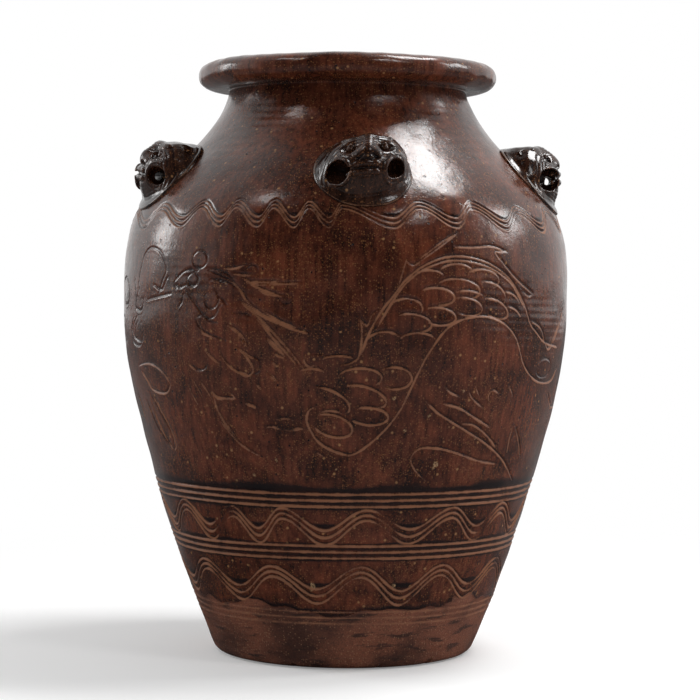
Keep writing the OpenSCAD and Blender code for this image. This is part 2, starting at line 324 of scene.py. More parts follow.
def break_group() -> bpy.types.NodeTree:
    """Where glaze runs thin off an edge and shows the clay, in broken stretches."""

    def build(graph: Graph, given: bpy.types.Node, out: bpy.types.Node) -> None:
        place = given.outputs["Place"]
        uneven = graph.span(graph.noise(place, 90.0, 3.0, 0.6), -0.35, 0.75)
        grain = graph.span(graph.noise(place, 700.0, 2.0), -0.25, 0.25)
        edge = graph.math("ADD", given.outputs["Edge"], graph.math("ADD", uneven, grain))
        mask = graph.band(edge, given.outputs["From"], given.outputs["To"])
        graph.tree.links.new(graph.math("MULTIPLY", mask, graph.band(given.outputs["Edge"], 0.04, 0.3)), out.inputs["Mask"])

    return shader_group("glaze_break", {"Edge": 0.0, "From": 0.4, "To": 1.0}, ("Mask",), build)


@dataclass(frozen=True)
class Glaze:
    """Iron glaze that breaks tan on edges, pools black in cuts and leaves the foot bare. On the wall's cut lines the
    tan is also painted light and the black is also painted shade.
    """

    name: str
    thick: tuple[float, float, float] = (0.019, 0.0046, 0.0024)
    thin: tuple[float, float, float] = (0.090, 0.0225, 0.0100)
    worn_and_lit_edge: tuple[float, float, float] = (0.235, 0.092, 0.041)
    pooled: tuple[float, float, float] = (0.004, 0.0022, 0.0032)
    crust: tuple[float, float, float] = (0.33, 0.205, 0.105)
    speck: tuple[float, float, float] = (0.20, 0.082, 0.030)
    grit: tuple[float, float, float] = (0.30, 0.15, 0.062)
    speck_amount: float = 0.36
    grain: float = 1.0
    pinholes: float = 0.07
    gloss: tuple[float, float] = (0.12, 0.32)
    peel: float = 0.00022

    def material(self) -> bpy.types.Material:
        """Builds the finish.

        Returns:
            The material. It reads the fields burr, cut, pool, glaze and crust of the mesh.
        """
        made = bpy.data.materials.new(self.name)
        made.use_nodes = True
        graph = Graph(made.node_tree)
        place = graph.place()

        clouds = graph.group(mottle_group(), {"Scale": 22.0, "Width": 0.34}).outputs["Mask"]
        curds = graph.group(mottle_group(), {"Scale": 160.0, "Width": 0.4}).outputs["Mask"]
        specks = graph.group(speckle_group(), {"Scale": 520.0, "Amount": self.speck_amount}).outputs["Mask"]
        grains = graph.group(speckle_group(), {"Scale": 210.0, "Amount": self.speck_amount * 0.14}).outputs["Mask"]
        holes = graph.group(pinhole_group(), {"Scale": 170.0, "Amount": self.pinholes})
        # Tan where the glaze breaks on edges and lips; on the wall's cut lines this tan is also painted light on the
        # lit lower wall
        edge = graph.group(break_group(), {"Edge": graph.field("burr"), "From": 0.35, "To": 1.0}).outputs["Mask"]
        # Black where the glaze pools and in the cuts; in the wall's cuts this black is also painted shade of the
        # groove's upper wall
        pool = graph.math("MAXIMUM", graph.field("pool"), graph.math("MULTIPLY", graph.field("cut"), 0.9))
        colour = graph.mix(clouds, self.thick, self.thin)
        colour = graph.mix(graph.math("MULTIPLY", curds, 0.35), colour, self.thin)
        runs = graph.put("ShaderNodeMapping", {"Vector": place, "Scale": (1.0, 1.0, 0.1)}).outputs[0]
        tones = graph.math("ADD", graph.noise(place, 760.0, 4.0, 0.75), graph.noise(runs, 240.0, 2.0))
        tones = graph.put("ShaderNodeMapRange", {"Value": tones, "From Min": 0.72, "From Max": 1.3, "To Min": 0.35, "To Max": 1.75})
        colour = graph.mix(self.grain, colour, tones.outputs["Result"], "MULTIPLY")
        rusty = graph.band(graph.noise(place, 17.0, 3.0, 0.6), 0.44, 0.62)
        rust = graph.math("MULTIPLY", graph.band(graph.noise(place, 560.0, 3.0, 0.7), 0.55, 0.68), rusty)
        colour = graph.mix(graph.math("MULTIPLY", rust, 0.7), colour, self.speck)
        colour = graph.mix(graph.math("MULTIPLY", specks, 0.75), colour, self.speck)
        colour = graph.mix(graph.math("MULTIPLY", grains, 0.8), colour, self.grit)
        colour = graph.mix(graph.math("MULTIPLY", pool, 0.96), colour, self.pooled)
        colour = graph.mix(graph.math("MULTIPLY", holes.outputs["Mask"], 0.85), colour, self.pooled)
        flakes = graph.band(graph.noise(place, 640.0, 3.0, 0.7), 0.38, 0.55)
        colour = graph.mix(graph.math("MULTIPLY", graph.field("crust"), flakes), colour, self.crust)
        shine = graph.span(graph.noise(place, 60.0, 4.0), *self.gloss)
        shine = graph.math("ADD", shine, graph.math("MULTIPLY", edge, 0.2))
        peel = graph.noise(place, 330.0, 3.0, 0.5)
        swell = graph.noise(place, 90.0, 2.0, 0.5)
        bumps = graph.math("ADD", graph.math("MULTIPLY", peel, 0.5), graph.math("MULTIPLY", swell, 1.4))
        bumps = graph.math("ADD", bumps, graph.math("MULTIPLY", graph.noise(place, 900.0, 2.0), 0.16))
        bumps = graph.math("ADD", bumps, graph.math("MULTIPLY", specks, 0.22))
        bumps = graph.math("ADD", bumps, graph.math("MULTIPLY", holes.outputs["Height"], 1.1))
        normal = graph.put("ShaderNodeBump", {"Height": bumps, "Distance": self.peel, "Strength": 1.0})
        shader = graph.put("ShaderNodeBsdfPrincipled", {"IOR": 1.46})
        clay = Clay.layers(graph, place)
        glazed = graph.field("glaze")
        bump = graph.put("ShaderNodeBump", {"Height": clay[2], "Distance": 0.0007})
        facing = graph.put("ShaderNodeMix", data_type="VECTOR")
        for number, socket in ((0, glazed), (4, bump.outputs[0]), (5, normal.outputs[0])):
            graph.tree.links.new(socket, facing.inputs[number])
        gloss = graph.put("ShaderNodeMix", {0: glazed, 2: clay[1], 3: shine}, data_type="FLOAT").outputs[0]
        # Mixes in the tan of broken edges, which on the wall's cut lines is also painted light
        colour = graph.mix(edge, graph.mix(glazed, clay[0], colour), self.worn_and_lit_edge)
        graph.tree.links.new(colour, shader.inputs["Base Color"])
        graph.tree.links.new(gloss, shader.inputs["Roughness"])
        graph.tree.links.new(facing.outputs[1], shader.inputs["Normal"])
        out = graph.put("ShaderNodeOutputMaterial", {"Surface": shader.outputs[0]})
        out.is_active_output = True
        return made


@dataclass(frozen=True)
class Clay:
    """Bare stoneware of the foot and the inside: red-brown, gritty and dull."""

    name: str = "bare_fired_clay"

    @staticmethod
    def layers(graph: Graph, place: Socket) -> tuple[Socket, Socket, Socket]:
        """Colour, roughness and height of bare clay.

        Args:
            graph: The tree that the nodes go into.
            place: Place on the jar.

        Returns:
            Sockets of the colour, the roughness and the height.
        """
        cloud = graph.noise(place, 14.0, 5.0, 0.6)
        flow = graph.put("ShaderNodeMapping", {"Vector": place, "Scale": (1.0, 1.0, 5.0)}).outputs[0]
        lines = graph.noise(flow, 34.0, 4.0, 0.6)
        colour = graph.mix(graph.band(cloud, 0.35, 0.62), (0.062, 0.019, 0.010), (0.180, 0.056, 0.027))
        colour = graph.mix(graph.math("MULTIPLY", graph.band(lines, 0.54, 0.66), 0.75), colour, (0.022, 0.009, 0.007))
        tones = graph.put("ShaderNodeMapRange", {"Value": graph.noise(place, 640.0, 4.0, 0.8), "From Min": 0.3,
                                                 "From Max": 0.7, "To Min": 0.45, "To Max": 1.55})
        colour = graph.mix(1.0, colour, tones.outputs["Result"], "MULTIPLY")
        specks = graph.group(speckle_group(), {"Scale": 480.0, "Amount": 0.32}).outputs["Mask"]
        colour = graph.mix(graph.math("MULTIPLY", specks, 0.7), colour, (0.30, 0.14, 0.065))
        grit = graph.noise(place, 520.0, 4.0, 0.7)
        height = graph.math("ADD", graph.math("MULTIPLY", grit, 0.6), graph.math("MULTIPLY", lines, 0.7))
        height = graph.math("ADD", height, graph.math("MULTIPLY", specks, 0.4))
        return colour, graph.span(grit, 0.42, 0.72), height

    def material(self) -> bpy.types.Material:
        """Builds the finish and returns the material."""
        made = bpy.data.materials.new(self.name)
        made.use_nodes = True
        graph = Graph(made.node_tree)
        colour, rough, height = self.layers(graph, graph.place())
        bump = graph.put("ShaderNodeBump", {"Height": height, "Distance": 0.0007})
        feeds = {"Base Color": colour, "Roughness": rough, "Normal": bump.outputs[0]}
        shader = graph.put("ShaderNodeBsdfPrincipled", feeds)
        graph.put("ShaderNodeOutputMaterial", {"Surface": shader.outputs[0]})
        return made


@dataclass(frozen=True)
class Outline:
    """Half section of the thrown wall: knots joined by smooth curves, and the rolled rim on top."""

    heights: tuple[float, ...] = (0.0, 190.0, 338.0, 428.0, 488.0, 556.0)
    radii: tuple[float, ...] = (127.0, 193.0, 220.4, 211.0, 163.0, 117.5)
    leans: tuple[float, ...] = (23.0, 15.0, 0.0, -20.0, -46.0, -11.0)
    wall: float = 9.0
    foot_edge: float = 7.0
    lap: float = 6.0

    def radius(self, height: Array | float) -> Array:
        """Outer radius at a height."""
        knots = np.asarray(self.heights)
        radii = np.asarray(self.radii)
        slopes = np.tan(np.radians(self.leans))
        height = np.clip(np.asarray(height, float), knots[0], knots[-1])
        index = np.clip(np.searchsorted(knots, height, side="right") - 1, 0, len(knots) - 2)
        length = knots[index + 1] - knots[index]
        s = (height - knots[index]) / length
        start = (2 * s**3 - 3 * s**2 + 1) * radii[index] + (s**3 - 2 * s**2 + s) * length * slopes[index]
        return start + (3 * s**2 - 2 * s**3) * radii[index + 1] + (s**3 - s**2) * length * slopes[index + 1]

    def slope(self, height: Array | float) -> Array:
        """How fast the radius grows with height."""
        return (self.radius(np.asarray(height) + 0.5) - self.radius(np.asarray(height) - 0.5)) / 1.0

    def inside(self, height: Array) -> tuple[Array, Array]:
        """Radius and height of the inner face behind points of the outer face."""
        slope = self.slope(height)
        length = np.sqrt(1.0 + slope**2)
        return self.radius(height) - self.wall / length, height + self.wall * slope / length

    def rim(self, pitch: float) -> tuple[Array, Array]:
        """Section of the rolled rim, from the neck out under it, over its crown and down the throat.

        Args:
            pitch: Distance between the points.

        Returns:
            Radii and heights.
        """
        power = 2.0 / 2.4

        def bow(angles: Array, centre: tuple[float, float], reach: tuple[float, float]) -> Array:
            cosine, sine = np.cos(angles), np.sin(angles)
            out = centre[0] + reach[0] * np.sign(cosine) * np.abs(cosine) ** power
            up = centre[1] + reach[1] * np.sign(sine) * np.abs(sine) ** power
            return np.stack([out, up], 1)

        outer = bow(np.radians(np.linspace(-80, 90, 120)), (128.0, 569.75), (20.5, 13.75))
        inner = bow(np.radians(np.linspace(94, 180, 60)), (128.0, 568.0), (19.5, 15.5))
        path = np.concatenate([[(self.radii[-1], self.heights[-1])], outer, inner, [(108.5, 556.5)]])
        along = np.concatenate([[0.0], np.cumsum(np.hypot(*np.diff(path, axis=0).T))])
        even = np.linspace(0.0, along[-1], int(along[-1] / pitch) + 1)
        return np.interp(even, along, path[:, 0]), np.interp(even, along, path[:, 1])


class Lathe:
    """Gathers rings of points round the axis into one closed mesh with a folded flat map."""

    def __init__(self) -> None:
        """Starts empty."""
        self.points: list[Array] = []
        self.normals: list[Array] = []
        self.faces: list[Array] = []
        self.maps: list[Array] = []
        self.count = 0

    def rings(self, points: Array, normals: Array | None = None) -> Array:
        """Adds rows of rings and returns the numbers of their points, one row a ring."""
        rows, columns = points.shape[:2]
        numbers = np.arange(rows * columns).reshape(rows, columns) + self.count
        self.count += rows * columns
        self.points.append(points.reshape(-1, 3))
        self.normals.append(np.zeros((rows * columns, 3)) if normals is None else normals.reshape(-1, 3))
        return numbers

    def skin(self, rings: Array, shelf: tuple[float, float], folds: int = 3) -> None:
        """Faces between neighbouring rings.

        Args:
            rings: Numbers of the points, one row a ring.
            shelf: Where the strip starts on the flat map, and its height there.
            folds: How many stretches the strip is cut into, so that it fills the map.
        """
        rows, columns = rings.shape
        right = np.roll(rings, -1, axis=1)
        quads = np.stack([rings[:-1], right[:-1], right[1:], rings[1:]], -1).reshape(-1, 4)
        share = columns // folds
        column = np.arange(columns)
        fold, within = column // share, column % share
        level = np.arange(rows) / max(rows - 1, 1)
        u = np.stack([within, within + 1, within + 1, within], -1) / share
        v = np.stack([level[:-1], level[:-1], level[1:], level[1:]], -1)
        gap = 0.004
        u = gap + u * (1.0 - 2.0 * gap)
        step = shelf[1] / folds
        v = shelf[0] + (fold[None, :, None] + gap + v[:, None, :] * (1.0 - 2.0 * gap)) * step
        flat = np.stack([np.broadcast_to(u[None], v.shape), v], -1)
        self.faces.append(quads)
        self.maps.append(flat.reshape(-1, 4, 2))

    def seam(self, fine: Array, coarse: Array, flip: bool) -> None:
        """Faces between a ring of many points and one of fewer, hidden in a luted seam."""
        ratio = len(fine) // len(coarse)
        step = np.arange(len(coarse))
        outer = fine[(step[:, None] * ratio + np.arange(ratio + 1)) % len(fine)]
        inner = np.stack([coarse[(step + 1) % len(coarse)], coarse], 1)
        face = np.concatenate([outer, inner], 1)
        face = face[:, ::-1] if flip else face
        turn = np.linspace(0.0, 1.0, face.shape[1])
        flat = np.stack([0.02 + 0.01 * np.cos(turn * TAU), 0.975 + 0.01 * np.sin(turn * TAU)], 1)
        self.faces.append(face)
        self.maps.append(np.broadcast_to(flat, (*face.shape, 2)))

    def cap(self, ring: Array, flip: bool) -> None:
        """One flat face across a ring."""
        turn = np.arange(len(ring)) / len(ring) * TAU
        corner = 0.955 if flip else 0.995
        flat = np.stack([corner - 0.015 + 0.014 * np.cos(turn), 0.978 + 0.014 * np.sin(turn)], 1)
        order = slice(None, None, -1 if flip else 1)
        self.faces.append(ring[None, order])
        self.maps.append(flat[None, order])

    def finish(self, name: str) -> bpy.types.Object:
        """Makes the object, whose given normals hold on the rings that have them."""
        made = make_object(name, np.concatenate(self.points), self.faces, self.maps)
        made.data.normals_split_custom_set_from_vertices(np.concatenate(self.normals).tolist())
        return made


@dataclass
class Skin:
    """The body's outer face as one grid of rings, from the foot up and over the rim to the throat."""

    outline: Outline
    courses: tuple[str, ...]
    columns: int = 1248
    pitch: float = 1.2
    spans: dict[str, tuple[int, int]] = field(default_factory=dict)

    def __post_init__(self) -> None:
        """Lays the rings of each course and clears the fields that the potter's tools change."""
        radii: list[float] = []
        heights: list[float] = []
        low = 0.0
        for course in self.courses:
            high = round(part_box(course)[1].z / MM, 3)
            if course == "rim":
                out, up = self.outline.rim(self.pitch * 1.2)
            else:
                count = self._rows(low, high)
                up = np.linspace(low, high, count)
                out = self.outline.radius(up) - self._edge(up)
            first = max(len(radii) - 1, 0)
            radii.extend(out[min(len(radii), 1):])
            heights.extend(up[min(len(heights), 1):])
            self.spans[course] = (first, len(radii) - 1)
            low = high
        self.radii = np.array(radii)[:, None]
        self.heights = np.array(heights)[:, None]
        self.turn = np.arange(self.columns)[None, :] * TAU / self.columns
        self.wall_rows = self.spans["neck"][1] + 1
        shape = (len(radii), self.columns)
        self.cut = np.zeros(shape, np.float32)
        self.burr = np.zeros(shape, np.float32)
        self.lip = np.zeros(shape, np.float32)
        self.pool = np.zeros(shape, np.float32)
        self.crust = np.zeros(shape, np.float32)
        self.lump = np.zeros(shape, np.float32)
        self.glaze = np.ones(shape, np.float32)

    def _rows(self, low: float, high: float) -> int:
        """How many rings a course needs."""
        run = np.hypot(high - low, self.outline.radius(high) - self.outline.radius(low))
        return int(run / self.pitch) + 2

    def _edge(self, height: Array) -> Array:
        """How far the rounded edge of the foot draws the outline in."""
        edge = self.outline.foot_edge
        return edge - np.sqrt(np.maximum(edge**2 - np.maximum(edge - height, 0.0) ** 2, 0.0))

    def along(self) -> Array:
        """Length round the jar from the front, positive to the right, in millimetres at the girth."""
        return ((self.turn + math.pi) % TAU - math.pi) * GIRTH_R

    def places(self) -> tuple[Array, Array]:
        """Points and outward normals of the grid in millimetres."""
        slope_r = np.gradient(self.radii, axis=0)
        slope_z = np.gradient(self.heights, axis=0)
        length = np.hypot(slope_r, slope_z)
        lift = self.lump + 0.42 * self.lip * (1.0 - self.cut) - 1.15 * self.cut
        lift = np.where(self.radii > 218.0, np.minimum(lift, 0.03), lift)
        out = self.radii + lift * slope_z / length
        up = self.heights - lift * slope_r / length
        points = np.stack([out * np.sin(self.turn), -out * np.cos(self.turn), up + 0.0 * out], -1)
        around = np.roll(points, -1, axis=1) - np.roll(points, 1, axis=1)
        rising = np.gradient(points, axis=0)
        normals = np.cross(around, rising)
        return points, normals / np.linalg.norm(normals, axis=-1, keepdims=True)


@dataclass
class Comb:
    """The potter's tools on the wet wall: combed rings and waves, and the single point that draws.

    Each cut leaves a hollow dark with pooled glaze and, on the side away from the light, a raised lip where the glaze
    breaks tan. The hollow is set towards the light, so its dark is also painted shade of the groove's upper wall, and
    the lip's tan is also painted light on the lit lower wall.
    """

    skin: Skin
    width: float = 1.0
    # Offsets set along the light: the hollow's dark is painted shade of the upper wall, the lip's tan is painted light
    # on the lower wall
    shaded_hollow_shift: tuple[float, float] = (0.22, 0.86)
    lit_lip_shift: tuple[float, float] = (-0.14, -0.62)

    def _press(self, rows: slice, columns: Array | slice, across: Array, up: Array, depth: Array, tan: float) -> None:
        """Cuts along the line that each point of the grid lies across and up from."""
        skin = self.skin
        # Dark hollow towards the light as painted shade and tan lip away from it as painted light, on top of the real
        # pooling and breaking of the glaze
        hollow = np.hypot(across - self.shaded_hollow_shift[0], up - self.shaded_hollow_shift[1])
        lip = np.hypot(across - self.lit_lip_shift[0], up - self.lit_lip_shift[1])
        groove = np.exp(-((hollow / self.width) ** 2)) * depth
        burr = np.exp(-((lip / (1.12 * self.width)) ** 2)) * np.minimum(depth, 1.0)
        skin.cut[rows, columns] = np.maximum(skin.cut[rows, columns], groove)
        skin.lip[rows, columns] = np.maximum(skin.lip[rows, columns], burr)
        skin.burr[rows, columns] = np.maximum(skin.burr[rows, columns], burr * tan)

    def wave(self, line: Callable[[Array, float], Array], depth: Callable[[Array], Array], tan: float = 1.0) -> None:
        """Combs a line of three teeth round the whole jar.

        Args:
            line: Height of a tooth for each turn in radians; the teeth are -1, 0 and 1.
            depth: How hard the comb is pressed for each turn.
            tan: How tan its lips break, as broken glaze and as painted light on the lit lower wall.
        """
        skin = self.skin
        for tooth in (-1.0, 0.0, 1.0):
            base = line(skin.turn, tooth)
            low, high = float(base.min()) - 6.0, float(base.max()) + 6.0
            rows = slice(*np.searchsorted(skin.heights[: skin.wall_rows, 0], (low, high)))
            heights = skin.heights[rows]
            stretch = np.hypot(1.0, skin.outline.slope(heights))
            rise = np.gradient(base, axis=1) / (TAU / skin.columns) * stretch / skin.radii[rows]
            offset = (heights - base) * stretch / (1.0 + rise**2)
            self._press(rows, slice(None), -offset * rise, offset, depth(skin.turn), tan)

    def draw(self, points: Array, depth: float = 1.0, tan: float = 1.0) -> None:
        """Draws one stroke with the point, pressed lighter at its ends.

        Args:
            points: Lengths round the jar and heights in millimetres, close together.
            depth: How hard it is pressed.
            tan: How tan its lip breaks, as broken glaze and as painted light on the lit lower wall.
        """
        skin = self.skin
        reach = 4.0
        pitch = TAU / skin.columns * GIRTH_R
        levels = skin.heights[: skin.wall_rows, 0]
        run = np.concatenate([[0.0], np.cumsum(np.hypot(*np.diff(points, axis=0).T))])
        ends = np.minimum(run, run[-1] - run)
        press = depth * (0.5 + 0.5 * smooth(ends, 0.0, min(8.0, run[-1] * 0.4)))
        low, high = points.min(0) - reach, points.max(0) + reach
        first_row, last_row = np.searchsorted(levels, (low[1], high[1]))
        first_column = math.floor(low[0] / pitch)
        numbers = np.arange(first_column, math.ceil(high[0] / pitch) + 1)
        shape = (last_row - first_row, len(numbers))
        best, across, up, strength = (np.full(shape, value) for value in (1e6, 1e3, 1e3, 0.0))
        for first in range(0, len(points) - 1, 6):
            part = points[first : first + 7]
            near_low, near_high = part.min(0) - reach, part.max(0) + reach
            top, bottom = np.searchsorted(levels, (near_low[1], near_high[1])) - first_row
            left, right = math.floor(near_low[0] / pitch), math.ceil(near_high[0] / pitch) + 1
            window = (slice(top, bottom), slice(left - first_column, right - first_column))
            rows = slice(top + first_row, bottom + first_row)
            scale = (skin.radii[rows] / GIRTH_R)[..., None]
            tilt = np.hypot(1.0, skin.outline.slope(skin.heights[rows]))[..., None]
            x = (np.arange(left, right) * pitch)[None, :, None]
            start, end = part[:-1], part[1:]
            edge_x = (end[:, 0] - start[:, 0]) * scale
            edge_y = (end[:, 1] - start[:, 1]) * tilt
            here_x = (x - start[:, 0]) * scale
            here_y = (skin.heights[rows][..., None] - start[:, 1]) * tilt
            share = (here_x * edge_x + here_y * edge_y) / np.maximum(edge_x**2 + edge_y**2, 1e-6)
            share = np.clip(share, 0.0, 1.0)
            gap_x, gap_y = here_x - share * edge_x, here_y - share * edge_y
            gaps = np.hypot(gap_x, gap_y)
            nearest = gaps.argmin(-1)[..., None]
            forces = np.broadcast_to(press[first : first + len(start)], gaps.shape)
            closer = gaps.min(-1) < best[window]
            for store, values in zip((best, across, up, strength), (gaps, gap_x, gap_y, forces)):
                found = np.take_along_axis(values, nearest, -1)[..., 0]
                store[window] = np.where(closer, found, store[window])
        self._press(slice(first_row, last_row), numbers % skin.columns, across, up, strength, tan)


def flowing(points: Points, step: float = 1.2) -> Array:
    """A smooth curve through given points.

    Args:
        points: Lengths round the jar and heights, in millimetres.
        step: Distance between the points of the curve.

    Returns:
        Points of the curve.
    """
    knots = np.asarray(points, float)
    if len(knots) == 2:
        knots = np.stack([knots[0], knots.mean(0), knots[1]])
    knots = np.concatenate([[2 * knots[0] - knots[1]], knots, [2 * knots[-1] - knots[-2]]])
    path = []
    for a, b, c, d in zip(knots, knots[1:], knots[2:], knots[3:]):
        count = max(int(np.hypot(*(c - b)) / step), 2)
        t = np.linspace(0.0, 1.0, count, endpoint=False)[:, None]
        path.append(0.5 * (2 * b + (c - a) * t + (2 * a - 5 * b + 4 * c - d) * t**2 + (3 * b - a - 3 * c + d) * t**3))
    return np.concatenate([*path, knots[-2:-1]])


def bow(centre: tuple[float, float], reach: tuple[float, float], sweep: tuple[float, float], tilt: float = 0.0) -> Array:
    """Part of an oval, as one curved stroke of the point.

    Args:
        centre: Its middle, round the jar and up.
        reach: Half its length and half its height.
        sweep: Angles in degrees between which it is drawn, anticlockwise from the right.
        tilt: How far its length is turned anticlockwise, in degrees.

    Returns:
        Points of the curve.
    """
    count = max(int(abs(sweep[1] - sweep[0]) / 360.0 * TAU * max(reach) / 1.2), 6)
    angle = np.radians(np.linspace(*sweep, count))
    across, up = reach[0] * np.cos(angle), reach[1] * np.sin(angle)
    cosine, sine = math.cos(math.radians(tilt)), math.sin(math.radians(tilt))
    return np.stack([centre[0] + across * cosine - up * sine, centre[1] + across * sine + up * cosine], 1)


@dataclass(frozen=True)
class CombedWave:
    """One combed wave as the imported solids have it: its crests in degrees from the front to the right."""

    crests: tuple[float, ...]
    middle: float
    reach: float
    pitch: float
    fall: float
    tan: float = 1.0
    pinch: float = 0.17

    def height(self, turn: Array, tooth: float) -> Array:
        """Height of one tooth's line at turns in radians."""
        crests = np.asarray(self.crests)
        ring = np.concatenate([crests, crests[:1] + 360.0])
        angle = (np.degrees(turn) - crests[0]) % 360.0 + crests[0]
        share = np.interp(angle, ring, np.arange(len(ring))) % 1.0
        half = np.where(share < self.fall, share / self.fall, 1.0 + (share - self.fall) / (1.0 - self.fall))
        up = np.cos(math.pi * half)
        return self.middle + self.reach * up + tooth * self.pitch * (1.0 - self.pinch * up)


WAVES = (
    CombedWave((-53, -24, 6, 34, 63, 93, 124, 153, 185, 214, 246, 276), 85.0, 12.0, 6.0, 0.5),
    CombedWave((-56, -35, -18.5, 6.6, 34, 56, 79, 101, 124, 147, 168, 191, 214, 236, 259, 281), 142.0, 11.0, 6.0, 0.5),
    CombedWave(
        (-57, -40, -29, -18.5, -9.5, -1, 18.5, 34, 50, 67, 83, 98, 113, 129, 143, 158, 174, 188, 204, 219, 233,
         249, 265, 282),
        429.5, 8.0, 4.0, 0.64, 0.8,
    ),
)


@dataclass
class Decoration:
    """Everything cut into the wet wall: rings and waves of the comb, and a dragon in clouds and leaves.

    The drawing is made for the front and repeated on the back, half a turn round the jar.
    """

    comb: Comb
    ring_middles: tuple[float, ...] = (52.0, 116.5, 166.6)
    ring_pitch: float = 5.9

    def rings(self) -> None:
        """Three rings in each of three bands, uneven as the wheel slows."""
        for number, middle in enumerate(self.ring_middles):
            sway = Wobble(60 + number, (1, 5), 400.0)
            force = Wobble(70 + number, (2, 14), 400.0)
            firm = 0.6 if number == 0 else 1.0

            def line(turn: Array, tooth: float, middle: float = middle, sway: Wobble = sway) -> Array:
                return middle + tooth * self.ring_pitch + 0.35 * sway(turn, 0.0)

            def press(turn: Array, force: Wobble = force, firm: float = firm) -> Array:
                return firm * np.clip(1.0 + 0.14 * force(turn, 0.0), 0.45, 1.15)

            self.comb.wave(line, press)

    def waves(self) -> None:
        """Two combed waves between the ring bands and one round the shoulder, with a slight tremble."""
        for number, plan in enumerate(WAVES):
            sway = Wobble(81 + number, (3, 12), 400.0)
            force = Wobble(91 + number, (4, 30), 400.0)

            def line(turn: Array, tooth: float, plan: CombedWave = plan, sway: Wobble = sway) -> Array:
                return plan.height(turn, tooth) + 0.5 * sway(turn, 0.0)

            def press(turn: Array, force: Wobble = force) -> Array:
                return np.clip(0.92 + 0.24 * force(turn, 0.0), 0.3, 1.15)

            self.comb.wave(line, press, plan.tan)

    def drawing(self) -> list[tuple[Array, float, float]]:
        """Strokes of the dragon and its plants about the front, with how hard and how tan each is."""
        groups = (
            (DRAGON_BACK, 1.05, 1.0), (FINS, 0.9, 0.85), (HEAD, 1.0, 0.2), (MANE, 0.8, 1.0),
            (CLAW, 0.75, 0.95), (CLOUD, 1.0, 0.25), (LEAVES, 0.95, 0.9),
        )
        strokes = [(flowing(points), depth, tan) for group, depth, tan in groups for points in group]
        strokes += [(bow(*scale), 0.9, 1.0) for scale in SCALES]
        strokes += [(bow(*curl), 0.95, 0.25) for curl in CURLS]
        return strokes

    def dragon(self) -> None:
        """Draws the frieze on the front and again, a little shakier, on the back."""
        draw = np.random.default_rng(41)
        for start, shake in ((0.0, 0.0), (math.pi * GIRTH_R, 1.6)):
            for points, depth, tan in self.drawing():
                slip = draw.normal(0.0, 1.0, 2) * shake
                self.comb.draw(points + (start + slip[0], slip[1]), depth * draw.uniform(0.88, 1.08), tan)

    def apply(self) -> None:
        """Cuts it all, in the order that the potter did."""
        self.rings()
        self.waves()
        self.dragon()


# The dragon's back and belly, from the tail forward, as lengths round the jar and heights
DRAGON_BACK = (
    ((-27, 255), (-35, 250), (-36, 238), (-25, 221), (-3, 211), (12, 212), (35, 229), (53, 251), (65, 277),
     (79, 305), (100, 329), (129, 337), (157, 332), (179, 317), (194, 293), (209, 281), (228, 274), (250, 272),
     (268, 275), (281, 285)),
    ((15, 303), (20, 318), (30, 338), (43, 355), (56, 371), (76, 385), (104, 392), (137, 387), (166, 373),
     (187, 352), (200, 331), (213, 321), (233, 311), (266, 306)),
    ((28, 325), (40, 346), (54, 366), (73, 380), (102, 388), (138, 383), (169, 368), (190, 345)),
)
FINS = (
    ((12, 339), (15, 325), (13, 302), (6, 295), (-4, 292)),
    ((12, 339), (15, 332), (20, 329), (24, 338), (29, 342)),
    ((56, 390), (51, 374), (46, 357)),
    ((55, 387), (62, 383), (76, 392), (108, 413)),
    ((108, 413), (90, 404), (72, 392), (66, 388)),
    ((104, 400), (124, 400), (146, 401), (164, 396)),
    ((164, 396), (157, 396), (150, 395), (160, 385), (178, 371), (204, 357)),
    ((204, 357), (198, 355), (190, 358)),
    ((202, 332), (220, 325), (232, 312), (244, 305), (266, 324), (285, 341)),
    ((240, 304), (258, 319), (274, 334)),
)
SCALES = (
    ((77, 372), (15, 7), (180, 0), 0),
    ((105, 376), (18, 9), (178, 12), 0),
    ((134, 371), (20, 9), (165, -50), -4),
    ((108, 362), (23, 9), (172, -60), -6),
    ((143, 357), (20, 11), (128, -12), -14),
    ((85, 355), (18, 8), (150, -80), -4),
    ((115, 346), (19, 8), (122, -110), -8),
    ((149, 344), (18, 8), (140, -112), -18),
    ((55, 344), (16, 9), (172, -32), 0),
    ((87, 337), (18, 8), (128, -120), -6),
    ((62, 331), (18, 8), (140, -62), -8),
    ((35, 313), (16, 10), (180, 30), 4),
    ((67, 315), (17, 7), (160, 12), 0),
    ((173, 339), (12, 5), (140, 30), -24),
    ((170, 352), (13, 6), (140, 20), -22),
    ((14, 281), (20, 9), (180, -42), 0),
    ((46, 281), (17, 10), (136, -120), -4),
    ((18, 264), (22, 9), (142, -40), -16),
    ((-16, 260), (22, 10), (132, -30), -22),
    ((23, 246), (19, 8), (130, -140), -4),
    ((-12, 237), (20, 10), (140, -140), -14),
    ((-14, 247), (11, 4), (160, 20), 0),
    ((-32, 298), (6, 7), (150, 300), 0),
    ((-6, 297), (15, 4), (160, 30), 0),
    ((-31, 285), (12, 4), (170, 20), 0),
    ((120, 354), (18, 6), (150, 40), -8),
)
CURLS = (
    ((-146, 386), (9, 8), (90, 460), 0),
    ((-154, 367), (7, 6), (70, 440), 0),
    ((-131, 350), (8, 9), (160, 420), 0),
    ((-55, 351), (6, 5), (200, 400), 0),
    ((-88, 377), (5, 4), (-70, 160), 0),
    ((-98, 308), (6, 5), (-100, 130), 0),
    ((-148, 292), (10, 8), (170, 380), 0),
    ((-88, 290), (8, 8), (-110, 100), 0),
    ((237, 286), (17, 9), (130, 480), 0),
)
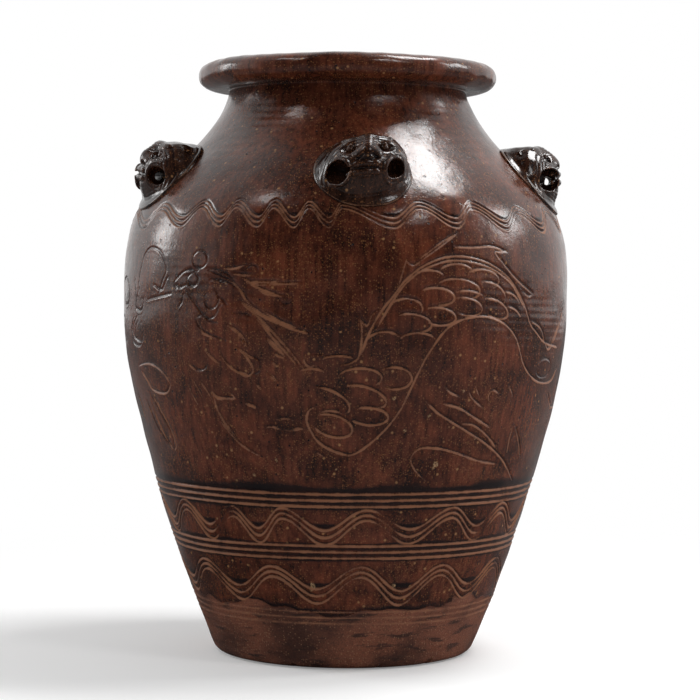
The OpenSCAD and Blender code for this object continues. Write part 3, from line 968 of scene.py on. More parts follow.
HEAD = (
    ((-164, 359), (-150, 344), (-140, 334), (-129, 333), (-121, 344)),
    ((-180, 364), (-172, 371), (-162, 376), (-148, 375)),
    ((-166, 353), (-168, 347), (-172, 342)),
    ((-180, 364), (-171, 360), (-163, 362)),
    ((-152, 335), (-148, 326), (-138, 319), (-126, 315), (-116, 312)),
    ((-148, 333), (-141, 335), (-134, 330), (-125, 328)),
    ((-135, 376), (-126, 373), (-110, 367), (-95, 355)),
    ((-133, 367), (-124, 368), (-112, 365), (-103, 360)),
    ((-107, 337), (-97, 337), (-90, 335)),
    ((-165, 375), (-157, 377), (-149, 372), (-147, 367), (-153, 362), (-161, 365), (-162, 371)),
    ((-136, 378), (-126, 377), (-116, 374), (-106, 367)),
    ((-134, 370), (-126, 367), (-115, 364)),
    ((-155, 355), (-151, 347), (-145, 340), (-136, 332)),
    ((-176, 369), (-180, 364), (-176, 359)),
    ((-151, 333), (-147, 326), (-142, 322)),
    ((-125, 353), (-119, 350), (-115, 345)),
)
MANE = (
    ((-113, 369), (-103, 363), (-92, 349), (-76, 337), (-52, 326), (-34, 321)),
    ((-100, 349), (-86, 339), (-70, 325), (-54, 308), (-38, 289)),
    ((-96, 348), (-82, 340), (-64, 332), (-46, 325)),
    ((-82, 333), (-74, 326), (-66, 321)),
    ((-98, 371), (-84, 365), (-66, 365), (-41, 366)),
    ((-117, 379), (-106, 379), (-95, 382)),
    ((-106, 374), (-96, 373), (-88, 373)),
    ((-91, 366), (-77, 360), (-62, 355)),
    ((-73, 316), (-66, 308), (-60, 304)),
    ((-113, 327), (-103, 321), (-94, 311)),
    ((-123, 304), (-118, 295), (-107, 286), (-92, 282)),
    ((-101, 306), (-93, 301), (-85, 296)),
    ((-140, 304), (-132, 297), (-124, 292)),
    ((-163, 296), (-160, 289), (-152, 284)),
    ((-68, 303), (-62, 300), (-56, 298)),
    ((-82, 333), (-72, 322), (-60, 309), (-49, 297), (-42, 289)),
    ((-93, 345), (-75, 335), (-57, 328), (-47, 325)),
    ((-75, 340), (-63, 333), (-46, 326)),
    ((-72, 316), (-63, 308), (-56, 300)),
    ((-81, 360), (-72, 356), (-57, 354)),
    ((-112, 327), (-104, 323), (-96, 316), (-94, 310), (-97, 308)),
    ((-103, 307), (-94, 299), (-88, 289), (-89, 284), (-95, 281), (-105, 285), (-114, 291), (-122, 300)),
    ((-137, 303), (-131, 297), (-123, 290)),
    ((-149, 333), (-145, 326), (-140, 319), (-126, 315)),
    ((-70, 284), (-63, 276)),
    ((-86, 274), (-79, 268)),
    ((-98, 256), (-88, 253)),
    ((-109, 367), (-99, 359), (-96, 353)),
    ((-93, 367), (-78, 367), (-60, 367)),
)
CLAW = (
    ((-137, 267), (-131, 261), (-119, 260), (-109, 260)),
    ((-135, 262), (-131, 246), (-122, 229), (-108, 216), (-88, 206)),
    ((-132, 249), (-124, 235), (-114, 223)),
    ((-98, 255), (-87, 252)),
    ((-67, 242), (-58, 243), (-50, 242)),
    ((-83, 232), (-73, 235), (-63, 233)),
    ((-55, 233), (-46, 234), (-38, 233)),
    ((-74, 284), (-64, 276)),
    ((-69, 295), (-64, 291)),
    ((-31, 212), (-26, 211), (-20, 207)),
    ((-138, 269), (-132, 261), (-125, 259), (-111, 260), (-117, 267)),
    ((-132, 241), (-123, 229), (-113, 220)),
    ((-82, 234), (-72, 235), (-64, 233)),
    ((-61, 233), (-52, 232), (-41, 234)),
    ((-167, 274), (-163, 263), (-157, 253)),
    ((-159, 276), (-152, 266), (-147, 255)),
    ((-149, 275), (-142, 266), (-136, 257)),
)
CLOUD = (
    ((-249, 352), (-246, 364), (-240, 379), (-234, 391), (-223, 397), (-208, 395), (-197, 387), (-192, 376),
     (-197, 367), (-205, 353)),
    ((-245, 358), (-252, 348), (-254, 340), (-245, 337), (-236, 341), (-238, 349)),
    ((-225, 348), (-205, 351), (-184, 354)),
    ((-260, 331), (-270, 318), (-264, 306), (-248, 304), (-237, 313), (-240, 326)),
    ((-250, 326), (-257, 316), (-251, 309)),
    ((-320, 352), (-306, 366), (-288, 368), (-276, 358), (-280, 345), (-294, 343), (-300, 352)),
    ((-332, 316), (-318, 330), (-300, 328), (-292, 315), (-302, 306), (-316, 311)),
    ((-239, 259), (-224, 240), (-210, 221), (-211, 207)),
    ((-253, 251), (-241, 230), (-227, 214), (-212, 205)),
    ((-252, 331), (-263, 322), (-260, 312), (-243, 308), (-236, 317)),
    ((-257, 366), (-254, 351), (-252, 340), (-239, 338), (-234, 349)),
    ((-213, 362), (-199, 358), (-190, 369)),
)
LEAVES = (
    ((-258, 285), (-231, 288), (-209, 283), (-195, 271), (-205, 261), (-230, 263), (-241, 272), (-252, 281)),
    ((-240, 260), (-236, 239), (-226, 219), (-213, 205)),
    ((-213, 205), (-206, 212), (-213, 231), (-225, 248), (-235, 258)),
    ((-285, 256), (-278, 246), (-276, 233)),
    ((-227, 255), (-222, 242)),
    ((79, 259), (95, 247), (128, 231), (155, 219), (190, 201), (222, 179)),
    ((97, 257), (117, 252), (136, 243), (159, 233)),
    ((121, 238), (136, 236), (156, 226), (175, 213)),
    ((97, 272), (104, 267), (114, 263)),
    ((88, 185), (75, 195), (69, 206), (76, 215), (92, 216), (114, 212), (150, 202), (182, 197)),
    ((123, 270), (130, 261), (144, 252)),
    ((132, 272), (139, 261)),
    ((152, 256), (150, 264), (155, 268), (163, 265)),
    ((176, 272), (184, 263), (183, 257)),
    ((197, 234), (195, 222), (196, 208)),
    ((199, 233), (213, 218), (225, 202)),
    ((262, 262), (278, 252), (296, 246), (318, 246)),
    ((300, 200), (290, 222), (288, 246), (298, 268), (306, 246), (304, 222), (300, 200)),
    ((316, 196), (328, 214), (340, 240), (334, 222), (326, 200)),
)


# Lumps of kiln grit that stuck to the wall: length round the jar, height and half width
GRIT = (
    (-39, 82, 3.6), (65, 83.5, 2.4), (402, 96, 3.0), (-520, 150, 2.6), (98, 199, 3.4), (83, 246, 1.6), (60, 232, 1.3),
    (-98, 188, 1.8), (-71, 203, 1.2), (33, 226, 1.2), (118, 268, 1.1), (47, 262, 1.3), (141, 223, 1.2), (-9, 196, 1.4),
)


@dataclass
class ThrownBody:
    """The eight luted courses of the body, all dressed in one run of glaze that stops above the foot."""

    glazed: bpy.types.Material
    bare: bpy.types.Material
    outline: Outline = field(default_factory=Outline)
    courses: tuple[str, ...] = (
        "base_disc", "foot_wall", "lower_wall", "belly_wall", "upper_wall", "shoulder", "neck", "rim",
    )
    inner_ratio: int = 8
    inner_pitch: float = 5.0

    def build(self) -> Skin:
        """Makes every course.

        Returns:
            The outer skin, which the lugs are seated on.
        """
        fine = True
        skin = Skin(self.outline, self.courses, 1248 if fine else 624, 1.2 if fine else 2.4)
        self.throw(skin)
        Decoration(Comb(skin, 1.0 if fine else 1.6)).apply()
        self.glaze_over(skin)
        points, normals = skin.places()
        for course in self.courses:
            self.part(skin, course, points, normals)
        return skin

    def throw(self, skin: Skin) -> None:
        """Gives the wall the unevenness of clay from the wheel."""
        turn, height = skin.turn, skin.heights
        wall = smooth(height, 0.0, 20.0) * smooth(height, 560.0, 540.0)
        skin.lump += 0.42 * wall * Wobble(11, (1, 4), 160.0)(turn, height) - 0.3
        skin.lump += 0.16 * wall * Wobble(12, (4, 22), 34.0)(turn, height)
        strength = smooth(Wobble(13, (1, 5), 120.0)(turn, height), -0.6, 1.4)
        ridge = np.cos(TAU * (height / 7.3 + turn / TAU) + 0.9 * Wobble(14, (1, 6), 60.0)(turn, height))
        skin.lump += 0.085 * wall * strength * ridge
        trimmed = np.cos(TAU * height / 2.6 + 1.3 * Wobble(15, (2, 9), 30.0)(turn, height))
        skin.lump += 0.05 * smooth(height, 78.0, 62.0) * trimmed
        rim = smooth(height, 556.0, 560.0)
        skin.lump += rim * (0.3 * Wobble(16, (2, 9), 90.0)(turn, height) - 0.75)
        skin.lump += 0.12 * rim * Wobble(17, (14, 44), 14.0)(turn, height)
        chips = smooth(Wobble(18, (9, 60), 16.0)(turn, height), 1.1, 2.3)
        skin.lump -= 1.5 * chips * smooth(height, 16.0, 2.0)

    def glaze_over(self, skin: Skin) -> None:
        """Says where the glaze ends, where it pools, and where grit stuck to it."""
        turn, height = skin.turn, skin.heights
        edge = 60.0 + 3.2 * Wobble(21, (2, 9), 500.0)(turn, 0.0) + 1.6 * Wobble(22, (8, 40), 500.0)(turn, 0.0)
        patch = smooth(Wobble(23, (3, 14), 30.0)(turn, height), 0.9, 1.5) * smooth(height, 88.0, 62.0)
        front = np.exp(-(((skin.along() + 40.0) / 95.0) ** 2))
        edge = edge + 7.0 * patch * (1.0 - 0.8 * front)
        over = height - edge
        skin.glaze *= smooth(over, -0.8, 0.8)
        roll = np.exp(-(((over - 2.2) / 2.6) ** 2))
        heavy = 0.45 + 0.55 * smooth(Wobble(24, (2, 10), 500.0)(turn, 0.0) + 1.5 * front, -0.2, 1.2)
        skin.lump += 0.55 * roll * heavy
        skin.pool = np.maximum(skin.pool, roll * heavy)
        uneven = 0.55 + 0.45 * smooth(Wobble(25, (3, 16), 60.0)(turn, height), -0.9, 0.6)
        for middle, above, below in ((166.6, 12.0, 4.6), (116.5, 4.6, 3.6), (52.0, 2.2, 1.6)):
            over, under = height - middle - 6.4, middle - 6.6 - height
            spill = above * (0.6 + 0.4 * smooth(Wobble(27 + int(middle), (3, 12), 500.0)(turn, 0.0), -0.7, 0.7))
            dark = smooth(over, -0.4, 1.0) * smooth(over, spill, 0.45 * spill)
            dark = np.maximum(dark, smooth(under, -0.2, 0.6) * smooth(under, below, 0.4 * below))
            teeth = np.abs((height - middle) / 5.9 % 1.0 - 0.5)
            gaps = smooth(teeth, 0.42, 0.2) * smooth(np.abs(height - middle), 7.0, 5.6)
            skin.pool = np.maximum(skin.pool, np.maximum(dark * np.maximum(uneven, 0.92), 0.85 * gaps) * skin.glaze)
        for plan in WAVES:
            top = plan.height(turn, 1.0)
            rise, level = height - top, float(top.min()) + 0.62 * plan.reach - height
            lens = smooth(rise, 0.4, 1.6) * smooth(level, 0.0, 2.4) * smooth(rise, 9.0, 5.0)
            skin.pool = np.maximum(skin.pool, 0.95 * lens * skin.glaze)
        for place, up, reach in GRIT:
            near = np.hypot(skin.along() - place, height - up) / reach
            lumpy = near + 0.35 * Wobble(26, (60, 200), 5.0)(turn, height) * (near < 3.0)
            skin.crust = np.maximum(skin.crust, smooth(lumpy, 1.1, 0.6))
            skin.lump += 0.7 * smooth(lumpy, 1.3, 0.2)
        skin.pool[: skin.wall_rows] *= skin.glaze[: skin.wall_rows]

    def part(self, skin: Skin, course: str, points: Array, normals: Array) -> None:
        """Parts one course from the skin and closes it with its inner face and seams."""
        first, last = skin.spans[course]
        rows = slice(first, last + 1)
        lathe = Lathe()
        outer = lathe.rings(points[rows], normals[rows])
        lathe.skin(outer, (0.0, 0.93))
        inner = lathe.rings(self.inner_face(skin, course))
        if course != "rim":
            lathe.skin(inner, (0.94, 0.02), 1)
            lathe.seam(outer[-1], inner[0], True)
            if course == "base_disc":
                lathe.cap(inner[-1], False)
            else:
                lathe.seam(outer[0], inner[-1], False)
        else:
            lathe.seam(outer[-1], inner[0], True)
            lathe.seam(outer[0], inner[0], False)
        if course == "base_disc":
            under = lathe.rings(self.under_face(skin))
            lathe.skin(under, (0.965, 0.008), 1)
            lathe.seam(outer[0], under[-1], False)
            lathe.cap(under[0], True)
        made = lathe.finish(f"thrown_{course}")
        count = lathe.count - outer.size
        fields = {}
        for name in ("cut", "burr", "pool", "crust", "glaze"):
            values = getattr(skin, name)[rows].ravel()
            inside = 1.0 if name == "glaze" and course in ("shoulder", "neck", "rim") else 0.0
            fields[name] = np.concatenate([values, np.full(count, inside, np.float32)])
        set_fields(made, fields)
        dress(made, course, self.bare if course == "base_disc" else self.glazed)

    def inner_face(self, skin: Skin, course: str) -> Array:
        """Rings of a course's inner face, from its top seam down."""
        first, last = skin.spans[course]
        turn = skin.turn[:, :: self.inner_ratio]
        if course == "rim":
            radii = np.array([[108.5]])
            heights = np.array([[556.2]])
        elif course == "base_disc":
            heights = np.full((6, 1), skin.heights[last, 0])
            radii = np.linspace(skin.radii[last, 0] - 10.0, 12.0, 6)[:, None]
        else:
            bottom = skin.heights[first, 0] - (self.outline.lap if course != "foot_wall" else 0.0)
            top = skin.heights[last, 0] - (self.outline.lap if course != "neck" else 0.0)
            count = max(int((top - bottom) / self.inner_pitch), 4)
            radii, heights = self.outline.inside(np.linspace(top, bottom, count)[:, None])
            if course == "foot_wall":
                heights[-1] = skin.heights[first, 0]
            if course == "neck":
                radii[0], heights[0] = 108.5, 556.2
        out = radii + 0.0 * turn
        return np.stack([out * np.sin(turn), -out * np.cos(turn), heights + 0.0 * turn], -1)

    def under_face(self, skin: Skin) -> Array:
        """Rings of the underside, from the middle out, cut from the wheel with a cord."""
        turn = skin.turn[:, :: self.inner_ratio]
        radii = np.linspace(10.0, skin.radii[0, 0] - 2.0, 12)[:, None]
        sag = 0.35 * smooth(radii, 110.0, 60.0) * (1.0 + Wobble(31, (1, 6), 40.0)(turn, radii))
        out = radii + 0.0 * turn
        return np.stack([out * np.sin(turn), -out * np.cos(turn), np.maximum(sag, 0.0) + 0.0 * turn], -1)


def ball(place: Array, centre: tuple[float, float, float], reach: float | tuple[float, float, float]) -> Array:
    """Distance to a ball or an egg with three half lengths; below 0 inside."""
    moved = place - np.asarray(centre)
    if isinstance(reach, (int, float)):
        return np.linalg.norm(moved, axis=-1) - reach
    near = np.linalg.norm(moved / np.asarray(reach), axis=-1)
    steep = np.linalg.norm(moved / np.square(reach), axis=-1)
    return near * (near - 1.0) / np.maximum(steep, 1e-6)


def coil(place: Array, start: tuple, end: tuple, radius: float, end_radius: float | None = None) -> Array:
    """Distance to a straight coil of clay with round ends, which may taper."""
    begin, run = np.asarray(start, float), np.subtract(end, start).astype(float)
    share = np.clip((place - begin) @ run / (run @ run), 0.0, 1.0)
    thick = radius + (radius if end_radius is None else end_radius) * share - radius * share
    return np.linalg.norm(place - begin - share[..., None] * run, axis=-1) - thick


def hoop(place: Array, centre: tuple, axis: tuple, radius: float, thick: float) -> Array:
    """Distance to a ring of clay."""
    moved = place - np.asarray(centre)
    facing = np.asarray(axis, float) / np.linalg.norm(axis)
    along = moved @ facing
    across = np.sqrt(np.maximum((moved**2).sum(-1) - along**2, 0.0))
    return np.hypot(across - radius, along) - thick


def join(first: Array, second: Array, soft: float) -> Array:
    """Joins two forms with a fillet of about the given size."""
    share = np.clip(0.5 + 0.5 * (second - first) / soft, 0.0, 1.0)
    return second + (first - second) * share - soft * share * (1.0 - share)


def gouge(form: Array, tool: Array, soft: float) -> Array:
    """Takes a tool's form out of the clay, with a soft edge."""
    return -join(-form, tool, soft)


class ClayNet:
    """Turns a distance function into a closed mesh whose points lie on the surface."""

    def __init__(self, form: Callable[[Array], Array], low: tuple, high: tuple, step: float) -> None:
        """Meshes the form.

        Args:
            form: Distance of points to the surface, below 0 inside.
            low: Lowest corner of the space that holds it.
            high: Highest corner.
            step: Size of the net's cells.
        """
        self.form = form
        self.low, self.step = np.asarray(low, float), step
        axes = [np.arange(a, b + step, step) for a, b in zip(low, high)]
        field_shape = tuple(len(axis) for axis in axes)
        grid = np.stack(np.meshgrid(*axes, indexing="ij"), -1).astype(np.float32)
        self.values = form(grid.reshape(-1, 3)).reshape(field_shape)
        self._net()
        self._settle()

    def _net(self) -> None:
        """Places a point in each cell that the surface passes, and a face across each edge that it cuts."""
        inside = self.values < 0.0
        shape = np.array(self.values.shape) - 1
        count = np.zeros(shape, np.int8)
        corners = [(i, j, k) for i in (0, 1) for j in (0, 1) for k in (0, 1)]
        for i, j, k in corners:
            count += inside[i : shape[0] + i, j : shape[1] + j, k : shape[2] + k]
        cells = np.argwhere((count > 0) & (count < 8))
        number = np.full(shape, -1)
        number[tuple(cells.T)] = np.arange(len(cells))
        total = np.zeros((len(cells), 3))
        hits = np.zeros(len(cells))
        for a in corners:
            for axis in range(3):
                if a[axis]:
                    continue
                b = tuple(1 if n == axis else a[n] for n in range(3))
                first = self.values[tuple((cells + a).T)]
                second = self.values[tuple((cells + b).T)]
                crossed = (first < 0.0) != (second < 0.0)
                share = np.where(crossed, first / np.where(crossed, first - second, 1.0), 0.0)
                point = np.asarray(a) + share[:, None] * np.subtract(b, a)
                total += point * crossed[:, None]
                hits += crossed
        self.points = self.low + (cells + total / hits[:, None]) * self.step
        faces = []
        for axis in range(3):
            one, two = (axis + 1) % 3, (axis + 2) % 3
            near = [slice(1, -1)] * 3
            near[axis] = slice(0, -1)
            far = list(near)
            far[axis] = slice(1, None)
            start, end = inside[tuple(near)], inside[tuple(far)]
            for flip, chosen in ((False, start & ~end), (True, end & ~start)):
                at = np.argwhere(chosen) + 1
                at[:, axis] -= 1
                ring = []
                for step_one, step_two in ((-1, -1), (0, -1), (0, 0), (-1, 0)):
                    cell = at.copy()
                    cell[:, one] += step_one
                    cell[:, two] += step_two
                    ring.append(number[tuple(cell.T)])
                face = np.stack(ring, -1)
                faces.append(face if flip else face[:, ::-1])
        self.faces = np.concatenate(faces)

    def slope(self, points: Array, reach: float) -> tuple[Array, Array]:
        """Gradient of the distance, and how much more it grows around than at each point."""
        here = self.form(points)
        parts, around = [], -6.0 * here
        for axis in range(3):
            shift = np.zeros(3)
            shift[axis] = reach
            ahead, behind = self.form(points + shift), self.form(points - shift)
            parts.append((ahead - behind) / (2.0 * reach))
            around += ahead + behind
        return np.stack(parts, -1), around / reach**2

    def _settle(self) -> None:
        """Moves the points onto the surface and reads its normals and its sharpness."""
        for _ in range(2):
            slope, _ = self.slope(self.points, 0.2)
            length = np.maximum((slope**2).sum(-1), 0.2)
            move = self.form(self.points) / length
            self.points = self.points - np.clip(move, -0.6 * self.step, 0.6 * self.step)[:, None] * slope
        self.normals, _ = self.slope(self.points, 0.35)
        _, self.bend = self.slope(self.points, 1.5)


@dataclass
class LionLug:
    """One pierced lion-mask lug.

    Places on it are across, out from the jar and up, in millimetres from its seat on the shoulder.
    """

    side: Side
    glazed: bpy.types.Material
    outline: Outline
    seat_z: float = 465.0
    first_turn: float = 4.7
    side_turn: float = 76.0
    step: float = 0.85

    def __post_init__(self) -> None:
        """Works out the seat and how this pressing differs from the others."""
        self.seat_r = float(self.outline.radius(self.seat_z))
        apart = {Side.FRONT: 0.0, Side.RIGHT: self.side_turn, Side.BACK: 180.0, Side.LEFT: -self.side_turn}
        self.turn = math.radians(self.first_turn + apart[self.side])
        draw = np.random.default_rng(90 + self.side.value)
        self.swing = draw.uniform(0.0, TAU, (3, 3))
        self.reach = draw.uniform(0.25, 0.55, (3, 3))
        self.skew = (0.1, 0.06) if self.side is Side.FRONT else tuple(draw.uniform(-0.06, 0.06, 2))
        self.cell = self.step * 1.0

    def pressed(self, place: Array) -> Array:
        """Places moved as this lug's clay was pushed about by hand."""
        moved = place.copy()
        for axis in range(3):
            for number, wave in enumerate((31.0, 17.0, 9.0)):
                run = place[..., (axis + number + 1) % 3] / wave * TAU
                moved[..., axis] += self.reach[axis, number] * wave / 31.0 * np.sin(run + self.swing[axis, number])
        moved[..., 0] -= self.skew[0] * place[..., 2]
        moved[..., 2] -= self.skew[1] * place[..., 0]
        return moved

    def above_wall(self, place: Array) -> Array:
        """Distance over the shoulder's surface."""
        radius = np.hypot(place[..., 0], self.seat_r + place[..., 1])
        height = self.seat_z + place[..., 2]
        slope = self.outline.slope(height)
        return (radius - self.outline.radius(height)) / np.sqrt(1.0 + slope**2)

    def head(self, raw: Array) -> Array:
        """Distance to the mask: a mound with snout, brow and mane, and the mouth's corners cut in."""
        place = self.pressed(raw)
        half = place.copy()
        half[..., 0] = np.abs(place[..., 0])
        form = ball(place, (0, -6, 2), (41, 31.5, 36))
        form = join(form, ball(place, (0, -20, 6), (34, 26, 29)), 7)
        form = -join(-form, 37.4 - place[..., 2], 5)
        form = gouge(form, coil(place, (-30, 20.5, 33), (30, 20.5, 33), 10), 3)
        form = gouge(form, ball(half, (17.5, 16, 25.5), (8.5, 8, 6)), 3)
        form = join(form, coil(half, (6, 5.5, 32.5), (20, 1.5, 30.5), 3.4, 2.6), 3)
        form = join(form, coil(place, (0, 5, 28), (0, 15, 20.5), 9, 9.5), 4)
        form = join(form, ball(place, (0, 16.5, 19), (12.5, 8, 6.2)), 3)
        form = join(form, ball(half, (8.5, 17.6, 16.6), (5, 5.2, 4)), 1.6)
        apron = np.maximum(self.above_wall(raw) - 2.3, self._inside_pad(raw))
        form = join(form, apron, 7)
        form = self.mane(form, half)
        form = self.mouth(form, place)
        form = gouge(form, coil(raw, (-22, 16.4, 2.5), (22, 8.6, 2.5), 4.1), 0.8)
        return np.maximum(form, -(self.above_wall(raw) + 3.0))

    def _inside_pad(self, place: Array) -> Array:
        """Rough distance to the pad's edge, a little inside it."""
        return (np.hypot(place[..., 0] / 43.5, (place[..., 2] - 1.5) / 30.6) - 1.0) * 36.0

    def mouth(self, form: Array, place: Array) -> Array:
        """Rolls clay round the mouth's corners, cuts them and the lines of snout, lips and chin."""
        form = join(form, hoop(place, (-23.5, 18.5, 2.6), (-0.62, 0.8, 0.0), 11.6, 1.7), 1.6)
        form = join(form, hoop(place, (25, 15.8, 3.6), (0.66, 0.75, 0.0), 9.6, 1.6), 1.6)
        form = join(form, hoop(place, (26.5, 14.4, 3), (0.66, 0.75, 0.0), 13.2, 1.1), 1.2)
        form = gouge(form, ball(place, (-23.5, 13, 2.4), (12.0, 14.5, 11.0)), 2.2)
        form = gouge(form, ball(place, (25, 10, 3.4), (10.2, 14, 9.2)), 2.2)
        form = gouge(form, coil(place, (-13, 25, 13.6), (13, 24.4, 13.8), 1.5), 1.2)
        form = gouge(form, coil(place, (-15, 25.4, 5.3), (15, 25.2, 5.6), 2.2), 1.0)
        form = gouge(form, coil(place, (-14, 26.3, -2.6), (14, 26.0, -2.4), 1.1), 1.0)
        for side in (-1.0, 1.0):
            form = gouge(form, coil(place, (4.4 * side, 24.8, 17.4), (8.4 * side, 22.6, 14.8), 1.5), 0.9)
            form = gouge(form, coil(place, (11 * side, 15, 24), (15.5 * side, 17, 13), 1.4), 1.6)
        below = smooth(place[..., 2], -4.0, -8.0)
        rings = np.hypot(place[..., 0] / 1.5, place[..., 2] - 16.0)
        return form + 0.07 * below * np.sin(rings / 3.3 * TAU)

    def mane(self, form: Array, half: Array) -> Array:
        """Combs the mane round the brow and cheeks, and rolls its curls."""
        across, out, up = half[..., 0], half[..., 1], half[..., 2]
        where = smooth(np.hypot(across / 1.15, up - 4.0), 21.0, 26.0) * smooth(up, -12.0, -2.0)
        strands = np.hypot(across, 1.25 * (up - 2.0)) + 1.1 * np.sin(np.arctan2(up, across) * 5.0 + out / 9.0)
        form = form + 0.17 * where * np.sin(strands / 2.9 * TAU)
        curls = (
            ((32.5, -7.5, 17.5), (0.86, 0.45, 0.35), 4.4),
            ((37.5, -7, 6), (0.95, 0.4, 0.1), 4.0),
            ((26, -7.5, 27.5), (0.62, 0.4, 0.66), 4.0),
            ((37.5, -2, -6), (0.85, 0.55, -0.3), 3.4),
        )
        for centre, axis, radius in curls:
            form = join(form, hoop(half, centre, axis, radius, 1.5), 1.2)
            form = join(form, ball(half, centre, 1.9), 1.0)
        return form

    def lips(self, raw: Array) -> Array:
        """Distance to the two rolls across the bar."""
        half = self.pressed(raw)
        half[..., 0] = np.abs(half[..., 0])
        upper = coil(half, (9, 23.0, 9.2), (15.5, 19.0, 8.6), 2.7, 1.9)
        upper = join(coil(half, (0, 23.9, 9.5), (9, 23.0, 9.2), 2.8, 2.7), upper, 2)
        lower = coil(half, (9, 24.3, 1.5), (16, 20.0, 0.4), 2.7, 1.9)
        lower = join(coil(half, (0, 25.1, 1.6), (9, 24.3, 1.5), 2.8, 2.7), lower, 2)
        return np.minimum(upper, lower)

    def eyes(self, raw: Array) -> Array:
        """Distance to the eye pellets with their lids."""
        half = self.pressed(raw)
        half[..., 0] = np.abs(half[..., 0])
        form = ball(half, (15.5, 7.6, 23.4), (4.4, 4.2, 3.6))
        form = join(form, coil(half, (10.6, 9, 26), (15.5, 9, 27.2), 1.2, 1.4), 1.4)
        form = join(form, coil(half, (15.5, 9, 27.2), (20.5, 5.5, 25), 1.4, 1.0), 1.4)
        return join(form, coil(half, (11, 10, 20.6), (19, 7, 20.2), 1.0), 1.2)

    def ears(self, raw: Array) -> Array:
        """Distance to the folded ears."""
        half = self.pressed(raw)
        half[..., 0] = np.abs(half[..., 0])
        form = ball(half, (23, -12.5, 20.5), (6.6, 6.4, 6.4))
        form = join(form, coil(half, (24, -10, 22), (27, -12.5, 27), 3.0, 1.8), 2)
        return gouge(form, ball(half, (26.4, -7.0, 22.5), (2.6, 2.8, 3.2)), 1.4)

    def seated(self, points: Array) -> Array:
        """Places of the mask as places on the jar."""
        across, out, up = points[..., 0], points[..., 1] + self.seat_r, points[..., 2] + self.seat_z
        cosine, sine = math.cos(self.turn), math.sin(self.turn)
        return np.stack([across * cosine + out * sine, across * sine - out * cosine, up], -1)

    def turned(self, normals: Array) -> Array:
        """Directions of the mask as directions on the jar."""
        cosine, sine = math.cos(self.turn), math.sin(self.turn)
        across, out = normals[..., 0], normals[..., 1]
        return np.stack([across * cosine + out * sine, across * sine - out * cosine, normals[..., 2]], -1)

    def press(self, part: str, form: Callable[[Array], Array], low: tuple, high: tuple, cell: float) -> None:
        """Meshes one part of the mask, seats it and dresses it."""
        net = ClayNet(form, low, high, cell)
        node = f"lug_{self.side.word}_{part}"
        made = make_object(f"pressed_{self.side.word}_{part}", self.seated(net.points), [net.faces])
        made.data.normals_split_custom_set_from_vertices(self.turned(net.normals).tolist())
        bend = net.bend
        fields = {
            "burr": 0.7 * smooth(bend, 0.4, 1.5),
            "pool": smooth(bend, -0.08, -0.6),
            "cut": np.zeros(len(bend)),
            "crust": np.zeros(len(bend)),
            "glaze": np.ones(len(bend)),
        }
        set_fields(made, fields)
        dress(made, node, self.glazed)

    def pad(self, half_length: float = 45.8, half_height: float = 43.5, thick: float = 3.3) -> None:
        """Makes the oval pad as a disc laid on the shoulder, thin and sharp at its edge."""
        columns, rings = 176, 30
        angle = np.arange(columns) * TAU / columns
        share = np.concatenate([np.linspace(0.04, 0.9, rings), np.linspace(0.91, 1.0, 12)])[:, None]
        rise = float(self.outline.slope(self.seat_z))
        length = math.sqrt(1.0 + rise**2)
        draw = Wobble(120 + self.side.value, (2, 7), 60.0, 8)
        grow = 1.0 + 0.012 * draw(angle, 0.0)
        across = share * half_length * grow * np.cos(angle)
        along = share * half_height * grow * np.sin(angle) + 2.0
        bead = 0.35 * np.exp(-(((1.0 - share) * half_height - 1.4) / 1.1) ** 2)
        body = thick * np.sqrt(np.clip(1.0 - share**14, 0.0, 1.0))
        lift = body + bead * (share < 0.999) + 0.2 * draw(angle, share * 60.0) * smooth(share, 0.99, 0.8)
        under = np.full_like(lift, -2.2)
        points = []
        for level in (lift, under):
            height = self.seat_z + along / length
            slope = self.outline.slope(height)
            lean = np.sqrt(1.0 + slope**2)
            radius = self.outline.radius(height) + level / lean
            out_z = height - level * slope / lean
            turn = self.turn + across / self.outline.radius(height)
            points.append(np.stack([radius * np.sin(turn), -radius * np.cos(turn), out_z], -1))
        lathe = Lathe()
        top = lathe.rings(points[0])
        bottom = lathe.rings(points[1][::6])
        edge = lathe.rings(points[1][-1:])
        right = slice(None, None, -1)
        lathe.skin(np.concatenate([edge, top[right]]), (0.5, 0.44), 1)
        lathe.skin(np.concatenate([bottom, edge]), (0.02, 0.44), 1)
        lathe.cap(top[0], False)
        lathe.cap(bottom[0], True)
        made = make_object(f"luted_{self.side.word}_pad", np.concatenate(lathe.points), lathe.faces, lathe.maps)
        spare = lathe.count - top.size
        bare = smooth(Wobble(130 + self.side.value, (2, 9), 60.0)(angle, 0.0), -0.8, 0.9)
        edge_glow = np.exp(-(((1.0 - share) * half_height - 0.8) / 0.75) ** 2) * bare
        zero = np.zeros(lathe.count)
        burr = np.concatenate([(0.6 * edge_glow).ravel(), np.zeros(spare)])
        set_fields(made, {"burr": burr, "pool": zero, "cut": zero, "crust": zero, "glaze": zero + 1.0})
        dress(made, f"lug_{self.side.word}_pad", self.glazed)

    def build(self) -> None:
        """Makes the five parts of the lug."""
        self.pad()
        self.press("head", self.head, (-48, -46, -36), (48, 32, 42), self.cell)
        self.press("lips", self.lips, (-22, 12, -6), (22, 31, 16), self.cell * 0.75)
        self.press("eyes", self.eyes, (-26, -2, 14), (26, 16, 32), self.cell * 0.65)
        self.press("ears", self.ears, (-36, -24, 8), (36, -1, 34), self.cell * 0.8)


